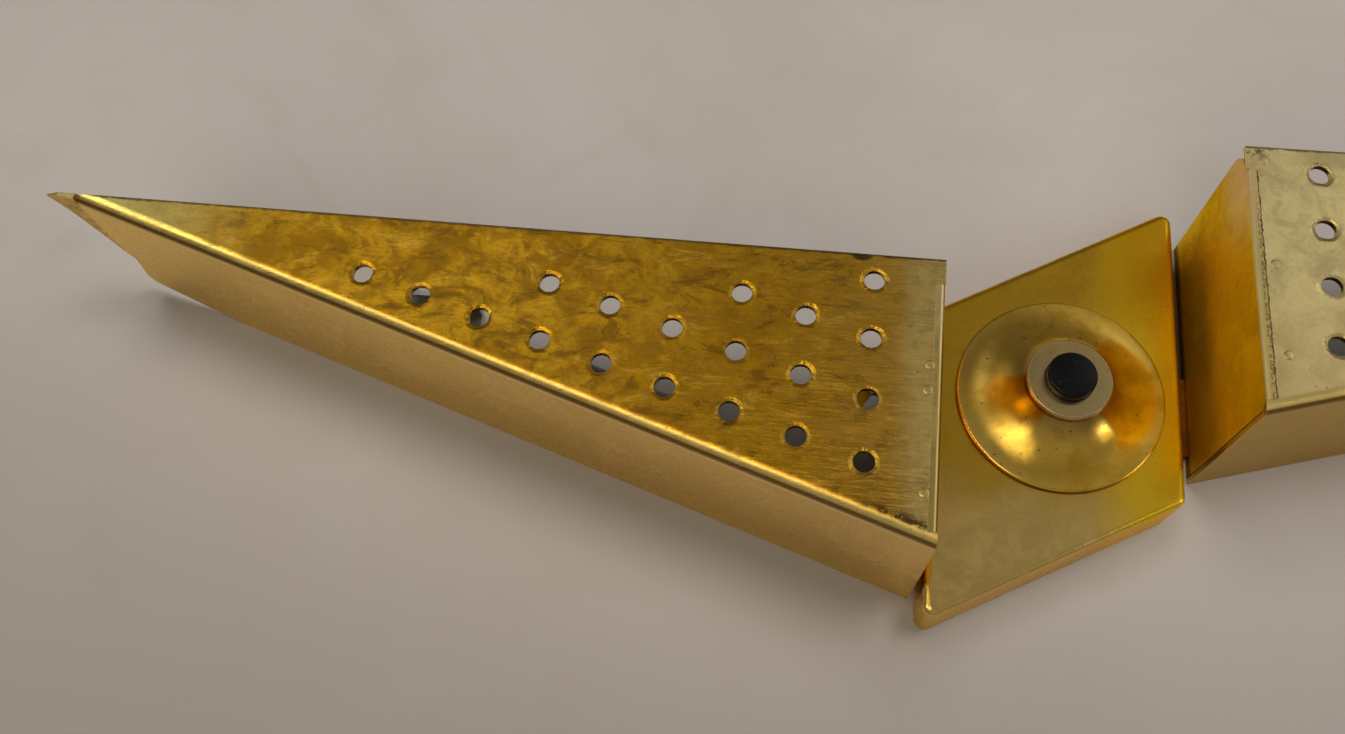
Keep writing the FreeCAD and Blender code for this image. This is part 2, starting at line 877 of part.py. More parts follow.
def lamp_clip(name, hand, middle):
    """Spring clip: an open ring on a stem and a riveted foot with a solder tail."""
    body = new_body(name)
    in_wall_frame(body, hand, S.lamp_place, S.lamp_height)
    start = middle * hand - S.clip_width / 2
    inner = S.cap_round + S.close_fit
    outer = inner + S.clip_wire
    ring = sketch_on(body, name + "_ring", "YZ_Plane", start)
    circle(ring, 0, 0, outer)
    circle(ring, 0, 0, inner)
    pad(body, ring, S.clip_width)
    mouth = sketch_on(body, name + "_mouth", "YZ_Plane", start - 1)
    deep, far, wide = CLIP_MOUTH
    outline(
        mouth,
        [(deep * inner, 0), (far * outer, wide * outer), (far * outer, -wide * outer)],
    )
    pocket(body, mouth, S.clip_width + 2, reverse=True)
    board = S.board_face + S.board_thick - S.lamp_place
    stem = sketch_on(body, name + "_stem", "YZ_Plane", start)
    rectangle(stem, board + S.clip_foot / 2, -inner - S.loose_fit, -S.clip_stem, S.clip_stem)
    pad(body, stem, S.clip_width)
    foot = sketch_on(body, name + "_foot", "YZ_Plane", start)
    rectangle(foot, board, board + S.clip_foot, -S.clip_tail, S.clip_top)
    pad(body, foot, S.clip_width)
    hole = sketch_on(body, name + "_hole", "XZ_Plane", -board - 2)
    circle(hole, middle * hand, S.rivet_place, S.rivet_round)
    pocket(body, hole, size(4), reverse=True)
    return body


def lamp_clips(side, hand):
    clips = [lamp_clip(f"{side}_clip_{n}", hand, s) for n, s in zip("ab", clip_places())]
    return group(f"{side}_lamp_clips", clips)


def lamp_turned(label, hand, profile):
    """A piece turned about the lamp's axis: profile in (s, r)."""
    body = turned(label, [(s * hand, r) for s, r in profile], "H_Axis", "XY_Plane")
    in_wall_frame(body, hand, S.lamp_place, S.lamp_height)
    return body


def lamp_glass(side, hand):
    """Glass tube, narrowed where it is held in the two caps."""
    first = S.lamp_start + S.cap_length - S.glass_hold
    last = S.lamp_start + S.lamp_length - S.cap_length + S.glass_hold
    neck = S.cap_round - S.cap_wall - S.close_fit
    wall = S.glass_wall
    inner_neck = S.glass_neck + wall / 3
    inner_shoulder = S.glass_shoulder + wall / 3
    profile = [
        (first, neck),
        (first + S.glass_neck, neck),
        (first + S.glass_shoulder, S.lamp_round),
        (last - S.glass_shoulder, S.lamp_round),
        (last - S.glass_neck, neck),
        (last, neck),
        (last, neck - wall),
        (last - inner_neck, neck - wall),
        (last - inner_shoulder, S.lamp_round - wall),
        (first + inner_shoulder, S.lamp_round - wall),
        (first + inner_neck, neck - wall),
        (first, neck - wall),
    ]
    return lamp_turned(f"{side}_lamp_glass", hand, profile)


def lamp_caps(side, hand):
    """Metal end caps of the tubular lamp."""
    length = S.cap_length
    inner = S.cap_round - S.cap_wall
    floor = length - S.glass_hold - S.close_fit
    profile = [
        (0, 0),
        (0, S.cap_point),
        (S.cap_cone, S.cap_round),
        (length, S.cap_round),
        (length, inner),
        (floor, inner),
        (floor, 0),
    ]
    first, last = S.lamp_start, S.lamp_start + S.lamp_length
    caps = [
        lamp_turned(f"{side}_cap_a", hand, [(first + s, r) for s, r in profile]),
        lamp_turned(f"{side}_cap_b", hand, [(last - s, r) for s, r in profile]),
    ]
    return group(f"{side}_lamp_caps", caps)


def lamp_filament(side, hand):
    """Straight rod along the lamp's axis, in place of the coil."""
    inset = S.cap_length - S.glass_hold - S.close_fit
    first = S.lamp_start + inset
    last = S.lamp_start + S.lamp_length - inset
    thin = S.filament_round
    profile = [(first, 0), (first, thin), (last, thin), (last, 0)]
    return lamp_turned(f"{side}_lamp_filament", hand, profile)


# --------------------------------------------------------- centre pieces


def center_pan():
    """Shallow folded tray with a parallelogram plan and four flanges."""
    body = new_body("center_pan")
    place(body, S.pan_x, S.pan_y, 0)
    half, height = S.pan_half_width, S.pan_half_height
    lean = half * S.pan_slope
    plan = sketch_on(body, "pan_plan", "XY_Plane")
    outline(
        plan,
        [
            (-half, -height - lean),
            (half, lean - height),
            (half, height + lean),
            (-half, height - lean),
        ],
    )
    block = pad(body, plan, S.pan_depth)
    corners = round_edges(body, block, S.pan_corner, lambda e: not lies(e, z=e.Vertexes[0].Z))
    bends = round_edges(body, corners, S.pan_bend, lambda e: lies(e, z=S.pan_depth))
    faces = enumerate(bends.Shape.Faces, 1)
    bottom = [f"Face{i}" for i, face in faces if lies(face, z=0)]
    shell = body.newObject("PartDesign::Thickness", "pan_shell")
    shell.Base = (bends, bottom)
    bind(shell, "Value", S.sheet)
    shell.Reversed = True
    doc.recompute()
    opening = sketch_on(body, "pan_opening", "XY_Plane", S.pan_depth + S.sheet)
    circle(opening, -S.pan_x, -S.pan_y, S.bush_round + S.loose_fit)
    pocket(body, opening, 3 * S.sheet)
    notch = sketch_on(body, "pan_notch", "YZ_Plane", size(-half.value - 2))
    notch_top = S.notch_depth + S.loose_fit
    rectangle(notch, -S.pan_y - S.notch_low, S.notch_high - S.pan_y, size(-1), notch_top)
    pocket(body, notch, 2 * half + 4, reverse=True)
    return body


def rosette():
    """Spun trumpet-shaped rose: rolled rim, hollow flare, clamped neck."""
    body = new_body("rosette")
    profile = sketch_on(body, "rose_profile", "XZ_Plane")
    roll = S.rosette_roll
    rim = S.rosette_round - roll
    rim_height = S.pan_depth + roll
    foot = rim - roll
    top = rim_height + roll
    centre = top + S.flare_round
    outside = S.flare_round + S.rosette_sheet
    neck_run = foot - S.neck_round
    neck = centre - root(S.flare_round * S.flare_round - neck_run * neck_run)
    under_run = neck_run - S.loose_fit
    under = centre - root(outside * outside - under_run * under_run)
    curved_outline(
        profile,
        [
            (S.neck_round, neck, S.flare_round),
            (foot, top, None),
            (rim, top, -roll),
            (S.rosette_round, rim_height, -roll),
            (rim, S.pan_depth, None),
            (foot, top - S.rosette_sheet, -outside),
            (S.neck_round + S.loose_fit, under, None),
            (S.neck_hole, under, None),
            (S.neck_hole, neck, None),
        ],
    )
    doc.recompute()
    spin = body.newObject("PartDesign::Revolution", "rose_spin")
    spin.Profile = profile
    spin.ReferenceAxis = (profile, ["V_Axis"])
    spin.Angle = 360
    doc.recompute()
    return body


def collar_nut():
    """Plain round nut that screws onto the switch bush and clamps the rose."""
    lip = S.collar_top - S.collar_lip
    profile = [
        (S.bush_round, S.neck_height),
        (S.collar_round, S.neck_height),
        (S.collar_round, S.collar_top - S.collar_bevel),
        (S.collar_round - S.collar_bevel, S.collar_top),
        (COLLAR_HOLE, S.collar_top),
        (COLLAR_HOLE, lip),
        (S.bush_round, lip),
    ]
    return turned("collar_nut", profile)


def switch_bush():
    """Threaded bush with a floor that guides the stem and seats the spring."""
    floor = S.bush_low + S.bush_floor
    profile = [
        (S.stem_bore, S.bush_low),
        (S.bush_flange, S.bush_low),
        (S.bush_flange, floor),
        (S.bush_round, floor),
        (S.bush_round, S.bush_top),
        (S.bush_bore, S.bush_top),
        (S.bush_bore, floor),
        (S.stem_bore, floor),
    ]
    return turned("switch_bush", profile)


def lock_washer():
    """Toothed washer between the pan and the switch nut."""
    body = new_body("lock_washer")
    plan = sketch_on(body, "washer_plan", "XY_Plane", S.pan_depth)
    circle(plan, 0, 0, S.washer_round)
    circle(plan, 0, 0, S.bush_round + S.loose_fit)
    pad(body, plan, S.washer_thick)
    tooth = sketch_on(body, "washer_tooth", "XY_Plane", S.pan_depth - 1)
    half = S.washer_tooth / 2
    rectangle(tooth, S.washer_round - S.washer_tooth, S.washer_round + 1, -half, half)
    cut = pocket(body, tooth, S.washer_thick + 2, reverse=True)
    ring = body.newObject("PartDesign::PolarPattern", "washer_teeth")
    ring.Originals = [cut]
    ring.Axis = (plan, ["N_Axis"])
    ring.Angle = 360
    ring.Occurrences = WASHER_TEETH
    body.Tip = ring
    doc.recompute()
    return body


def switch_nut():
    body = new_body("switch_nut")
    plan = sketch_on(body, "switch_nut_plan", "XY_Plane", S.pan_depth + S.washer_thick)
    hexagon(plan, size(0), size(0), S.hex_half)
    circle(plan, 0, 0, S.bush_round)
    pad(body, plan, S.hex_thick)
    return body


def switch_housing():
    """Moulded cup, open below, pulled against the pan by the bush."""
    top = S.pan_depth - S.sheet
    roof = S.bush_low + S.bush_floor
    inner = S.housing_round - S.housing_wall
    profile = [
        (inner, S.housing_low),
        (S.housing_round, S.housing_low),
        (S.housing_round, top),
        (S.bush_round + S.close_fit, top),
        (S.bush_round + S.close_fit, roof),
        (inner, roof),
    ]
    return turned("switch_housing", profile)


def switch_base():
    """Disc that closes the housing and carries the contacts and rotor post."""
    inner = S.housing_round - S.housing_wall - S.close_fit
    low = S.housing_low
    top = low + S.base_thick
    post_top = ROTOR_TOP + S.post_over
    profile = [
        (0, low),
        (inner, low),
        (inner, top),
        (S.post_round, top),
        (S.post_round, post_top),
        (0, post_top),
    ]
    body = turned("switch_base", profile)
    slots = sketch_on(body, "base_slots", "XY_Plane", low - 1)
    half = S.tail_thick / 2 + S.close_fit
    for way in (-1, 1):
        y = S.tail_place * way
        rectangle(slots, -S.contact_half, S.contact_half, y - half, y + half)
    pocket(body, slots, S.base_thick + 2, reverse=True)
    return body


def switch_contacts():
    """Two fixed contact fingers whose tails pass down through the base."""
    fingers = []
    top = S.housing_low + S.base_thick
    half = S.tail_thick / 2
    for name, way in (("a", -1), ("b", 1)):
        body = new_body(f"contact_{name}")
        tail = sketch_on(body, f"contact_tail_{name}", "YZ_Plane", -S.contact_half)
        y = S.tail_place * way
        bend = S.contact_place * way
        end = bend - S.contact_tip * way
        under = S.contact_top - S.contact_thick
        outline(
            tail,
            [
                (y - half * way, S.tail_low),
                (y + half * way, S.tail_low),
                (y + half * way, top + S.contact_thick),
                (bend, S.contact_top),
                (end, S.contact_top),
                (end, under),
                (bend, under),
                (y - half * way, top),
            ],
        )
        pad(body, tail, 2 * S.contact_half)
        fingers.append(body)
    return group("switch_contacts", fingers)


def contact_rotor():
    """Moulded ratchet disc that steps round as the stem is pushed."""
    body = new_body("contact_rotor")
    plan = sketch_on(body, "rotor_plan", "XY_Plane", S.rotor_low)
    circle(plan, 0, 0, S.rotor_round)
    circle(plan, 0, 0, S.post_round + S.close_fit)
    pad(body, plan, S.rotor_thick)
    gap = sketch_on(body, "rotor_gap", "XY_Plane", S.rotor_low - 1)
    rectangle(gap, S.rotor_round - S.rotor_gap_depth, S.rotor_round + 1, -S.rotor_gap, S.rotor_gap)
    cut = pocket(body, gap, S.rotor_thick + 2, reverse=True)
    teeth = body.newObject("PartDesign::PolarPattern", "rotor_teeth")
    teeth.Originals = [cut]
    teeth.Axis = (plan, ["N_Axis"])
    teeth.Angle = 360
    teeth.Occurrences = ROTOR_TEETH
    body.Tip = teeth
    doc.recompute()
    return body


def contact_bridge():
    """Brass bridge under the rotor that joins the two fingers when it is turned."""
    body = new_body("contact_bridge")
    low = S.rotor_low - S.bridge_thick
    plan = sketch_on(body, "bridge_plan", "XY_Plane", low)
    circle(plan, 0, 0, S.bridge_inner)
    circle(plan, 0, 0, S.bridge_inner - S.bridge_rim)
    pad(body, plan, S.bridge_thick)
    root_place = S.bridge_inner - S.bridge_rim / 2
    for name, way in (("a", -1), ("b", 1)):
        arm = sketch_on(body, f"bridge_arm_{name}", "XY_Plane", low)
        ends = sorted((root_place * way, S.bridge_outer * way), key=lambda end: end.value)
        rectangle(arm, *ends, -S.contact_half, S.contact_half)
        pad(body, arm, S.bridge_thick)
    return body


def push_button():
    """Black button: domed head, retaining shoulder and guide stem in one moulding."""
    edge = S.button_top - S.button_dome
    reach = S.button_round - S.button_edge
    dome = (reach * reach + S.button_dome * S.button_dome) / (2 * S.button_dome)
    socket = S.post_round + S.loose_fit
    profile = [
        (0, STEM_LOW + S.stem_socket),
        (socket, STEM_LOW + S.stem_socket),
        (socket, STEM_LOW),
        (S.stem_round, STEM_LOW),
        (S.stem_round, SHOULDER_LOW),
        (S.shoulder_round, SHOULDER_LOW),
        (S.shoulder_round, SHOULDER_TOP),
        (S.button_round, SHOULDER_TOP),
        (S.button_round, edge - S.button_edge, S.button_edge),
        (reach, edge, dome),
        (0, S.button_top),
    ]
    return turned("push_button", profile)


def return_spring():
    """Coil spring between the bush floor and the button's shoulder."""
    floor = (S.bush_low + S.bush_floor + S.thread_fit).value
    wire = S.spring_wire.value
    mean = S.spring_mean.value
    height = SHOULDER_LOW.value - S.thread_fit.value - floor - 2 * wire
    coil = Part.makeHelix(S.spring_pitch.value, height, mean)
    section = Part.Wire(Part.makeCircle(wire, FreeCAD.Vector(mean, 0, 0), FreeCAD.Vector(0, 1, 0)))
    swept = coil.makePipeShell([section], True, True)
    thing = doc.addObject("Part::Feature", "return_spring")
    thing.Shape = swept
    place(thing, 0, 0, size(floor + wire))
    return thing


def spine_bar():
    """Flat bar behind the pan that joins the two shades, with ears over the leads."""
    body = new_body("spine_bar")
    plan = sketch_on(body, "spine_plan", "XY_Plane")
    left, right = end_x(-1) - S.spine_reach, end_x(1) + S.spine_reach
    rectangle(plan, left, right, -S.spine_half, S.spine_half)
    pad(body, plan, S.notch_depth)
    for side, hand in HANDS.items():
        start = S.ear_start * hand
        end = end_x(hand) + S.ear_reach * hand
        ear = sketch_on(body, f"{side}_ear", "XY_Plane")
        rectangle(ear, start, end, S.spine_half - 1, S.ear_high)
        pad(body, ear, S.notch_depth)
        groove = sketch_on(body, f"{side}_groove", "XY_Plane", size(-1))
        rectangle(groove, start - hand, end + hand, S.groove_low, S.groove_high)
        pocket(body, groove, S.groove_depth + 1, reverse=True)
    holes = sketch_on(body, "spine_holes", "XY_Plane", size(-1))
    for x, y in spine_screw_places() + pillar_places():
        circle(holes, x, y, S.screw_hole)
    drilled = pocket(body, holes, 4 * S.sheet, reverse=True)
    sink = S.head_round + S.loose_fit - S.screw_hole
    round_edges(body, drilled, sink, back_rim, kind="Chamfer")
    return body


def back_rim(edge):
    """True for the round rim of a hole in the back plane."""
    return len(edge.Vertexes) == 1 and lies(edge, z=0)


def spine_screw_places():
    spots = []
    for hand in (-1, 1):
        x = end_x(hand) + S.screw_place * hand
        spots += [(x, -S.screw_spread), (x, S.screw_spread)]
    return spots


def pillar_places():
    return [(-S.pillar_place, size(0)), (S.pillar_place, size(0))]


def sunk_screws(label, spots, top):
    """Slotted countersunk screws with their heads in the back of the spine."""
    cone = S.head_round - S.screw_round
    profile = [
        (0, 0),
        (S.head_round, 0),
        (S.screw_round, cone),
        (S.screw_round, top),
        (0, top),
    ]
    screws = []
    for index, (x, y) in enumerate(spots):
        screw = turned(f"{label}_{index}", profile)
        drive_slots(screw, [(size(0), size(0))], S.head_round + 1, 0)
        turn = FreeCAD.Rotation(FreeCAD.Vector(0, 0, 1), SLOT_TURN * (index + 1))
        screw.Placement = FreeCAD.Placement(FreeCAD.Vector(0, 0, 0), turn)
        place(screw, x, y, 0)
        screws.append(screw)
    return group(label, screws)


def spine_nuts():
    body = new_body("spine_nuts_body")
    plan = sketch_on(body, "spine_nut_plan", "XY_Plane", S.notch_depth + S.sheet)
    for x, y in spine_screw_places():
        hexagon(plan, x, y, S.nut_half)
        circle(plan, x, y, S.screw_round + S.thread_fit)
    pad(body, plan, S.nut_thick)
    return body


def pan_pillars():
    """Threaded pillars soldered under the pan; the spine is screwed to them."""
    body = new_body("pan_pillars_body")
    plan = sketch_on(body, "pillar_plan", "XY_Plane", S.notch_depth)
    for x, y in pillar_places():
        circle(plan, x, y, S.pillar_round)
        circle(plan, x, y, S.screw_round + S.thread_fit)
    pad(body, plan, S.pan_depth - S.sheet - S.notch_depth)
    return body


def terminal_block():
    """Two-way connector block hung under the pan, its screws facing the back."""
    body = new_body("terminal_block")
    low, high = S.block_y - S.block_half_width, S.block_y + S.block_half_width
    top = S.pan_depth - S.sheet
    plan = sketch_on(body, "block_plan", "XY_Plane", S.block_low)
    rectangle(plan, -S.block_half_length, S.block_half_length, low, high)
    pad(body, plan, top - S.block_low)
    tunnels = sketch_on(body, "block_tunnels", "YZ_Plane", -S.block_half_length - 1)
    for way in (-1, 1):
        y = S.block_y + S.insert_place * way
        half = S.insert_half + S.close_fit
        rectangle(tunnels, y - half, y + half, S.insert_height - half, S.insert_height + half)
    pocket(body, tunnels, 2 * S.block_half_length + 2, reverse=True)
    screws = sketch_on(body, "block_screw_holes", "XY_Plane", S.block_low - 1)
    for x, y in clamp_places():
        circle(screws, x, y, S.clamp_round + S.loose_fit)
    circle(screws, 0, S.block_y, S.block_screw_round + S.loose_fit)
    pocket(body, screws, S.insert_height - S.block_low, reverse=True)
    through = sketch_on(body, "block_through", "XY_Plane", S.block_low)
    circle(through, 0, S.block_y, S.block_screw_round + S.loose_fit)
    pocket(body, through, top - S.block_low, reverse=True)
    recess = sketch_on(body, "block_recess", "XY_Plane", top + 1)
    circle(recess, 0, S.block_y, S.block_bush_round + S.loose_fit)
    pocket(body, recess, S.block_bush_thick + 1)
    return body


def clamp_places():
    return [
        (S.clamp_place * x, S.block_y + S.insert_place * y) for x in (-1, 1) for y in (-1, 1)
    ]


def terminal_inserts():
    """Brass bars inside the block, bored for the leads and tapped for the screws."""
    bars = []
    for name, way in (("a", -1), ("b", 1)):
        y = S.block_y + S.insert_place * way
        low = S.insert_height - S.insert_half
        bar = slab(
            f"insert_{name}",
            -S.insert_half_length,
            S.insert_half_length,
            y - S.insert_half,
            y + S.insert_half,
            low,
            S.insert_height + S.insert_half,
        )
        bore = sketch_on(bar, f"insert_bore_{name}", "YZ_Plane", -S.insert_half_length - 1)
        circle(bore, y, S.insert_height, S.insert_bore)
        pocket(bar, bore, 2 * S.insert_half_length + 2, reverse=True)
        taps = sketch_on(bar, f"insert_taps_{name}", "XY_Plane", low - 1)
        for x in (-S.clamp_place, S.clamp_place):
            circle(taps, x, y, S.clamp_round + S.thread_fit)
        pocket(bar, taps, S.insert_half + 1, reverse=True)
        bars.append(bar)
    return group("terminal_inserts", bars)


def terminal_screws():
    """Slotted grub screws that clamp the leads in the brass bars."""
    body = new_body("terminal_screws_body")
    plan = sketch_on(body, "clamp_plan", "XY_Plane", S.clamp_low)
    for x, y in clamp_places():
        circle(plan, x, y, S.clamp_round)
    pad(body, plan, S.clamp_top - S.clamp_low)
    drive_slots(body, clamp_places(), S.clamp_round + 1, S.clamp_low)
    return body


def block_bush():
    """Tapped bush soldered under the pan for the block's screw."""
    top = S.pan_depth - S.sheet
    low = top - S.block_bush_thick
    bore = S.block_screw_round + S.thread_fit
    profile = [
        (bore, low),
        (S.block_bush_round, low),
        (S.block_bush_round, top),
        (bore, top),
    ]
    body = turned("block_bush", profile)
    place(body, 0, S.block_y, 0)
    return body


def block_screw():
    """Cheese-head screw that holds the block to its bush."""
    head = 2 * S.block_screw_round
    profile = [
        (0, S.block_screw_low),
        (head, S.block_screw_low),
        (head, S.block_low),
        (S.block_screw_round, S.block_low),
        (S.block_screw_round, S.block_screw_top),
        (0, S.block_screw_top),
    ]
    body = turned("block_screw", profile)
    drive_slots(body, [(size(0), size(0))], head + 1, S.block_screw_low)
    place(body, 0, S.block_y, 0)
    return body


# ------------------------------------------------------------------ leads


def rounded_path(points, radius):
    """A wire through the points, straight between tangent arcs at the corners."""
    spots = [FreeCAD.Vector(*p) for p in points]
    edges = []
    start = spots[0]
    for before, corner, after in zip(spots, spots[1:], spots[2:]):
        inward = (before - corner).normalize()
        outward = (after - corner).normalize()
        angle = inward.getAngle(outward)
        if abs(math.pi - angle) < 1e-3:
            continue
        room = 0.45 * min((before - corner).Length, (after - corner).Length)
        cut = min(radius / math.tan(angle / 2), room)
        bisector = (inward + outward).normalize()
        bend = cut * math.tan(angle / 2)
        middle = corner + bisector * (math.hypot(cut, bend) - bend)
        first, last = corner + inward * cut, corner + outward * cut
        edges.append(Part.LineSegment(start, first).toShape())
        edges.append(Part.Arc(first, middle, last).toShape())
        start = last
    edges.append(Part.LineSegment(start, spots[-1]).toShape())
    return Part.Wire(edges)


def lead(points):
    """One insulated wire along a rounded path."""
    path = rounded_path(points, S.lead_bend.value)
    along = FreeCAD.Vector(*points[1]) - FreeCAD.Vector(*points[0])
    ring = Part.Wire(Part.makeCircle(S.lead_round.value, FreeCAD.Vector(*points[0]), along))
    return path.makePipeShell([ring], True, False)


def lead_group(label, routes):
    """Leads run in three dimensions, so their shape is swept and set directly."""
    thing = doc.addObject("Part::Feature", label)
    thing.Shape = Part.makeCompound([lead(route) for route in routes])
    place(thing)
    return thing


def in_wall(hand, s, d, z):
    """A wall-frame point in the main frame, as plain numbers."""
    x = end_x(hand).value + hand * (s * COS.value - d * SIN.value)
    y = (top_y(hand) - S.wing_width).value + s * SIN.value + d * COS.value
    return (x, y, z)


def tail_touch():
    """How far out from y zero a lead runs past a contact tail that it is soldered to."""
    return (S.tail_place + S.tail_thick / 2 + S.lead_round + S.thread_fit).value


def lamp_leads(side, hand):
    """From the switch and the block, under the spine's ears, to the two clips."""
    low = S.lead_height.value
    touch = (S.board_face + S.board_thick + S.clip_foot + S.lead_round + S.thread_fit).value
    first, second = S.lead_first.value, S.lead_second.value
    entry, gutter = S.lead_entry.value * hand, S.lead_gutter.value * hand
    lift = S.gutter_height.value
    first_x = (end_x(hand) + S.first_riser * hand).value
    second_x = (end_x(hand) + S.second_riser * hand).value
    first_ledge, second_ledge = S.first_ledge.value, S.second_ledge.value
    near_clip, far_clip = [middle.value for middle in clip_places()]
    neutral = (S.block_y - S.insert_place).value
    bar = S.insert_height.value
    joint = S.tail_joint.value
    switched = [
        (0.9 * hand, tail_touch(), low + 0.7),
        (9.0 * hand, tail_touch(), low),
        (entry, first, low),
        (first_x, first, low),
        (first_x, first, first_ledge),
        in_wall(hand, 3.5, 2.1, first_ledge),
        in_wall(hand, 21.0, 2.1, first_ledge),
        in_wall(hand, 27.0, 4.6, joint + 0.8),
        in_wall(hand, near_clip - 4, touch, joint),
        in_wall(hand, near_clip + 1, touch, joint),
    ]
    common = [
        (7.0 * hand, neutral, bar),
        (13.5 * hand, neutral, bar),
        (gutter, -9.0, lift),
        (gutter, 6.8, lift),
        (entry, second, low),
        (second_x, second, low),
        (second_x, second, second_ledge),
        in_wall(hand, 6.0, 3.8, second_ledge),
        in_wall(hand, 29.0, 3.9, second_ledge),
        in_wall(hand, 37.0, 6.2, joint + 1),
        in_wall(hand, far_clip - 9, 6.2, joint + 1),
        in_wall(hand, far_clip - 4, touch, joint),
        in_wall(hand, far_clip + 1, touch, joint),
    ]
    return lead_group(f"{side}_lamp_leads", [switched, common])


def switch_lead():
    """From the live insert to the first contact tail."""
    live = (S.block_y + S.insert_place).value
    bar = S.insert_height.value
    low = S.lead_height.value + 0.95
    route = [
        (-7.0, live, bar),
        (-12.5, live, bar),
        (-13.0, -12.0, 2 * low),
        (-6.0, -tail_touch(), low),
        (-0.9, -tail_touch(), low),
    ]
    return lead_group("switch_lead", [route])


# --------------------------------------------------------------- assembly

WING_PIECES = {
    "shade": shade,
    "end_plate": end_plate,
    "tip_cap": tip_cap,
    "hanger_strap": hanger_strap,
    "lamp_board": lamp_board,
    "board_studs": board_studs,
    "board_nuts": board_nuts,
    "clip_rivets": clip_rivets,
    "lamp_clips": lamp_clips,
    "lamp_glass": lamp_glass,
    "lamp_caps": lamp_caps,
    "lamp_filament": lamp_filament,
    "lamp_leads": lamp_leads,
}
CENTRE_PIECES = {
    "center_pan": center_pan,
    "rosette": rosette,
    "collar_nut": collar_nut,
    "switch_bush": switch_bush,
    "lock_washer": lock_washer,
    "switch_nut": switch_nut,
    "switch_housing": switch_housing,
    "switch_base": switch_base,
    "switch_contacts": switch_contacts,
    "contact_rotor": contact_rotor,
    "contact_bridge": contact_bridge,
    "push_button": push_button,
    "return_spring": return_spring,
    "spine_bar": spine_bar,
    "spine_nuts": spine_nuts,
    "pan_pillars": pan_pillars,
    "terminal_block": terminal_block,
    "terminal_inserts": terminal_inserts,
    "terminal_screws": terminal_screws,
    "block_bush": block_bush,
    "block_screw": block_screw,
    "switch_lead": switch_lead,
}

for label, build in CENTRE_PIECES.items():
    node(label, build())
node("wing_screws", sunk_screws("wing_screws", spine_screw_places(), S.wing_screw_top))
node("pan_screws", sunk_screws("pan_screws", pillar_places(), S.pan_screw_top))
for side, hand in HANDS.items():
    for label, build in WING_PIECES.items():
        node(f"{side}_{label}", build(side, hand))

doc.recompute()
for thing in doc.Objects:
    if "Invalid" in thing.State or "Error" in thing.State:
        raise RuntimeError(f"{thing.Label} failed: {thing.State}")
for label, thing in nodes.items():
    if thing.Shape.isNull() or not thing.Shape.isValid():
        raise RuntimeError(f"{label} has no valid shape")

os.makedirs("parts", exist_ok=True)
for label, thing in nodes.items():
    thing.Shape.exportStep(f"parts/{label}.step")
    solids = len(thing.Shape.Solids)
    print(f"{label}: {solids} solid(s), {thing.Shape.Volume:.1f} mm3")
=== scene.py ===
import math
import random

import bmesh
import bpy
from mathutils import Matrix, Vector


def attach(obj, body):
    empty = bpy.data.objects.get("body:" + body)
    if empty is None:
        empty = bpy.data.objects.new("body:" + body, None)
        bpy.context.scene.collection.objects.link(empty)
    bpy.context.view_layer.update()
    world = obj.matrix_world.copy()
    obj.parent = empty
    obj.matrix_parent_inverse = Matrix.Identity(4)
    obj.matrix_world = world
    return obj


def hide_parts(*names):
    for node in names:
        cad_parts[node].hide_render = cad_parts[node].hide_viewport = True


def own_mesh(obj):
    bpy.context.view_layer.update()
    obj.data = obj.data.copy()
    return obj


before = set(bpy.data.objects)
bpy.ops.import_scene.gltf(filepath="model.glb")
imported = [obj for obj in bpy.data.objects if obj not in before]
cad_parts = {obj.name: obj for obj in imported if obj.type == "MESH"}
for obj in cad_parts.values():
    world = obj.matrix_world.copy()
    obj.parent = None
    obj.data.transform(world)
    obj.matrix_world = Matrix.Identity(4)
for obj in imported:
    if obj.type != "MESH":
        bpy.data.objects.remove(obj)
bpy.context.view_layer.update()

# Looks of the perforated brass wall light. The CAD nodes keep their shape and get
# procedural materials. Solder, weld pips and coiled filaments are added as pieces
# that ride on the body "light", and so is the return spring's coil. The sizes of
# pieces and of surface detail are millimetres; the lights, the camera and the limits
# set straight on a place are metres.

MM = 0.001

# The wings as the CAD has them: the wide end's x, the top edge's y and the hand.
WINGS = {"left": (-26.35, 13.5, -1), "right": (28.15, 42.7, 1)}
WING_WIDTH = 54.0
WING_LENGTH = 174.0
SLOPE = math.atan2(WING_WIDTH, WING_LENGTH)
# The face's height above the wall.
FACE = 40.0
# The light holes: the lowest row starts HOLE_FIRST from the wide end and HOLE_DROP
# below the top edge, and climbs HOLE_RISE at each column.
HOLE_FIRST = 12.8
HOLE_PITCH = 11.9
HOLE_DROP = 40.3
HOLE_RISE = 3.49
ROW_PITCH = 11.65
# A hole is there where its row times ROW_STEP plus its column is below LAST_HOLE.
ROW_STEP = 2.8
LAST_HOLE = 8.45


# ------------------------------------------------------------------ nodes


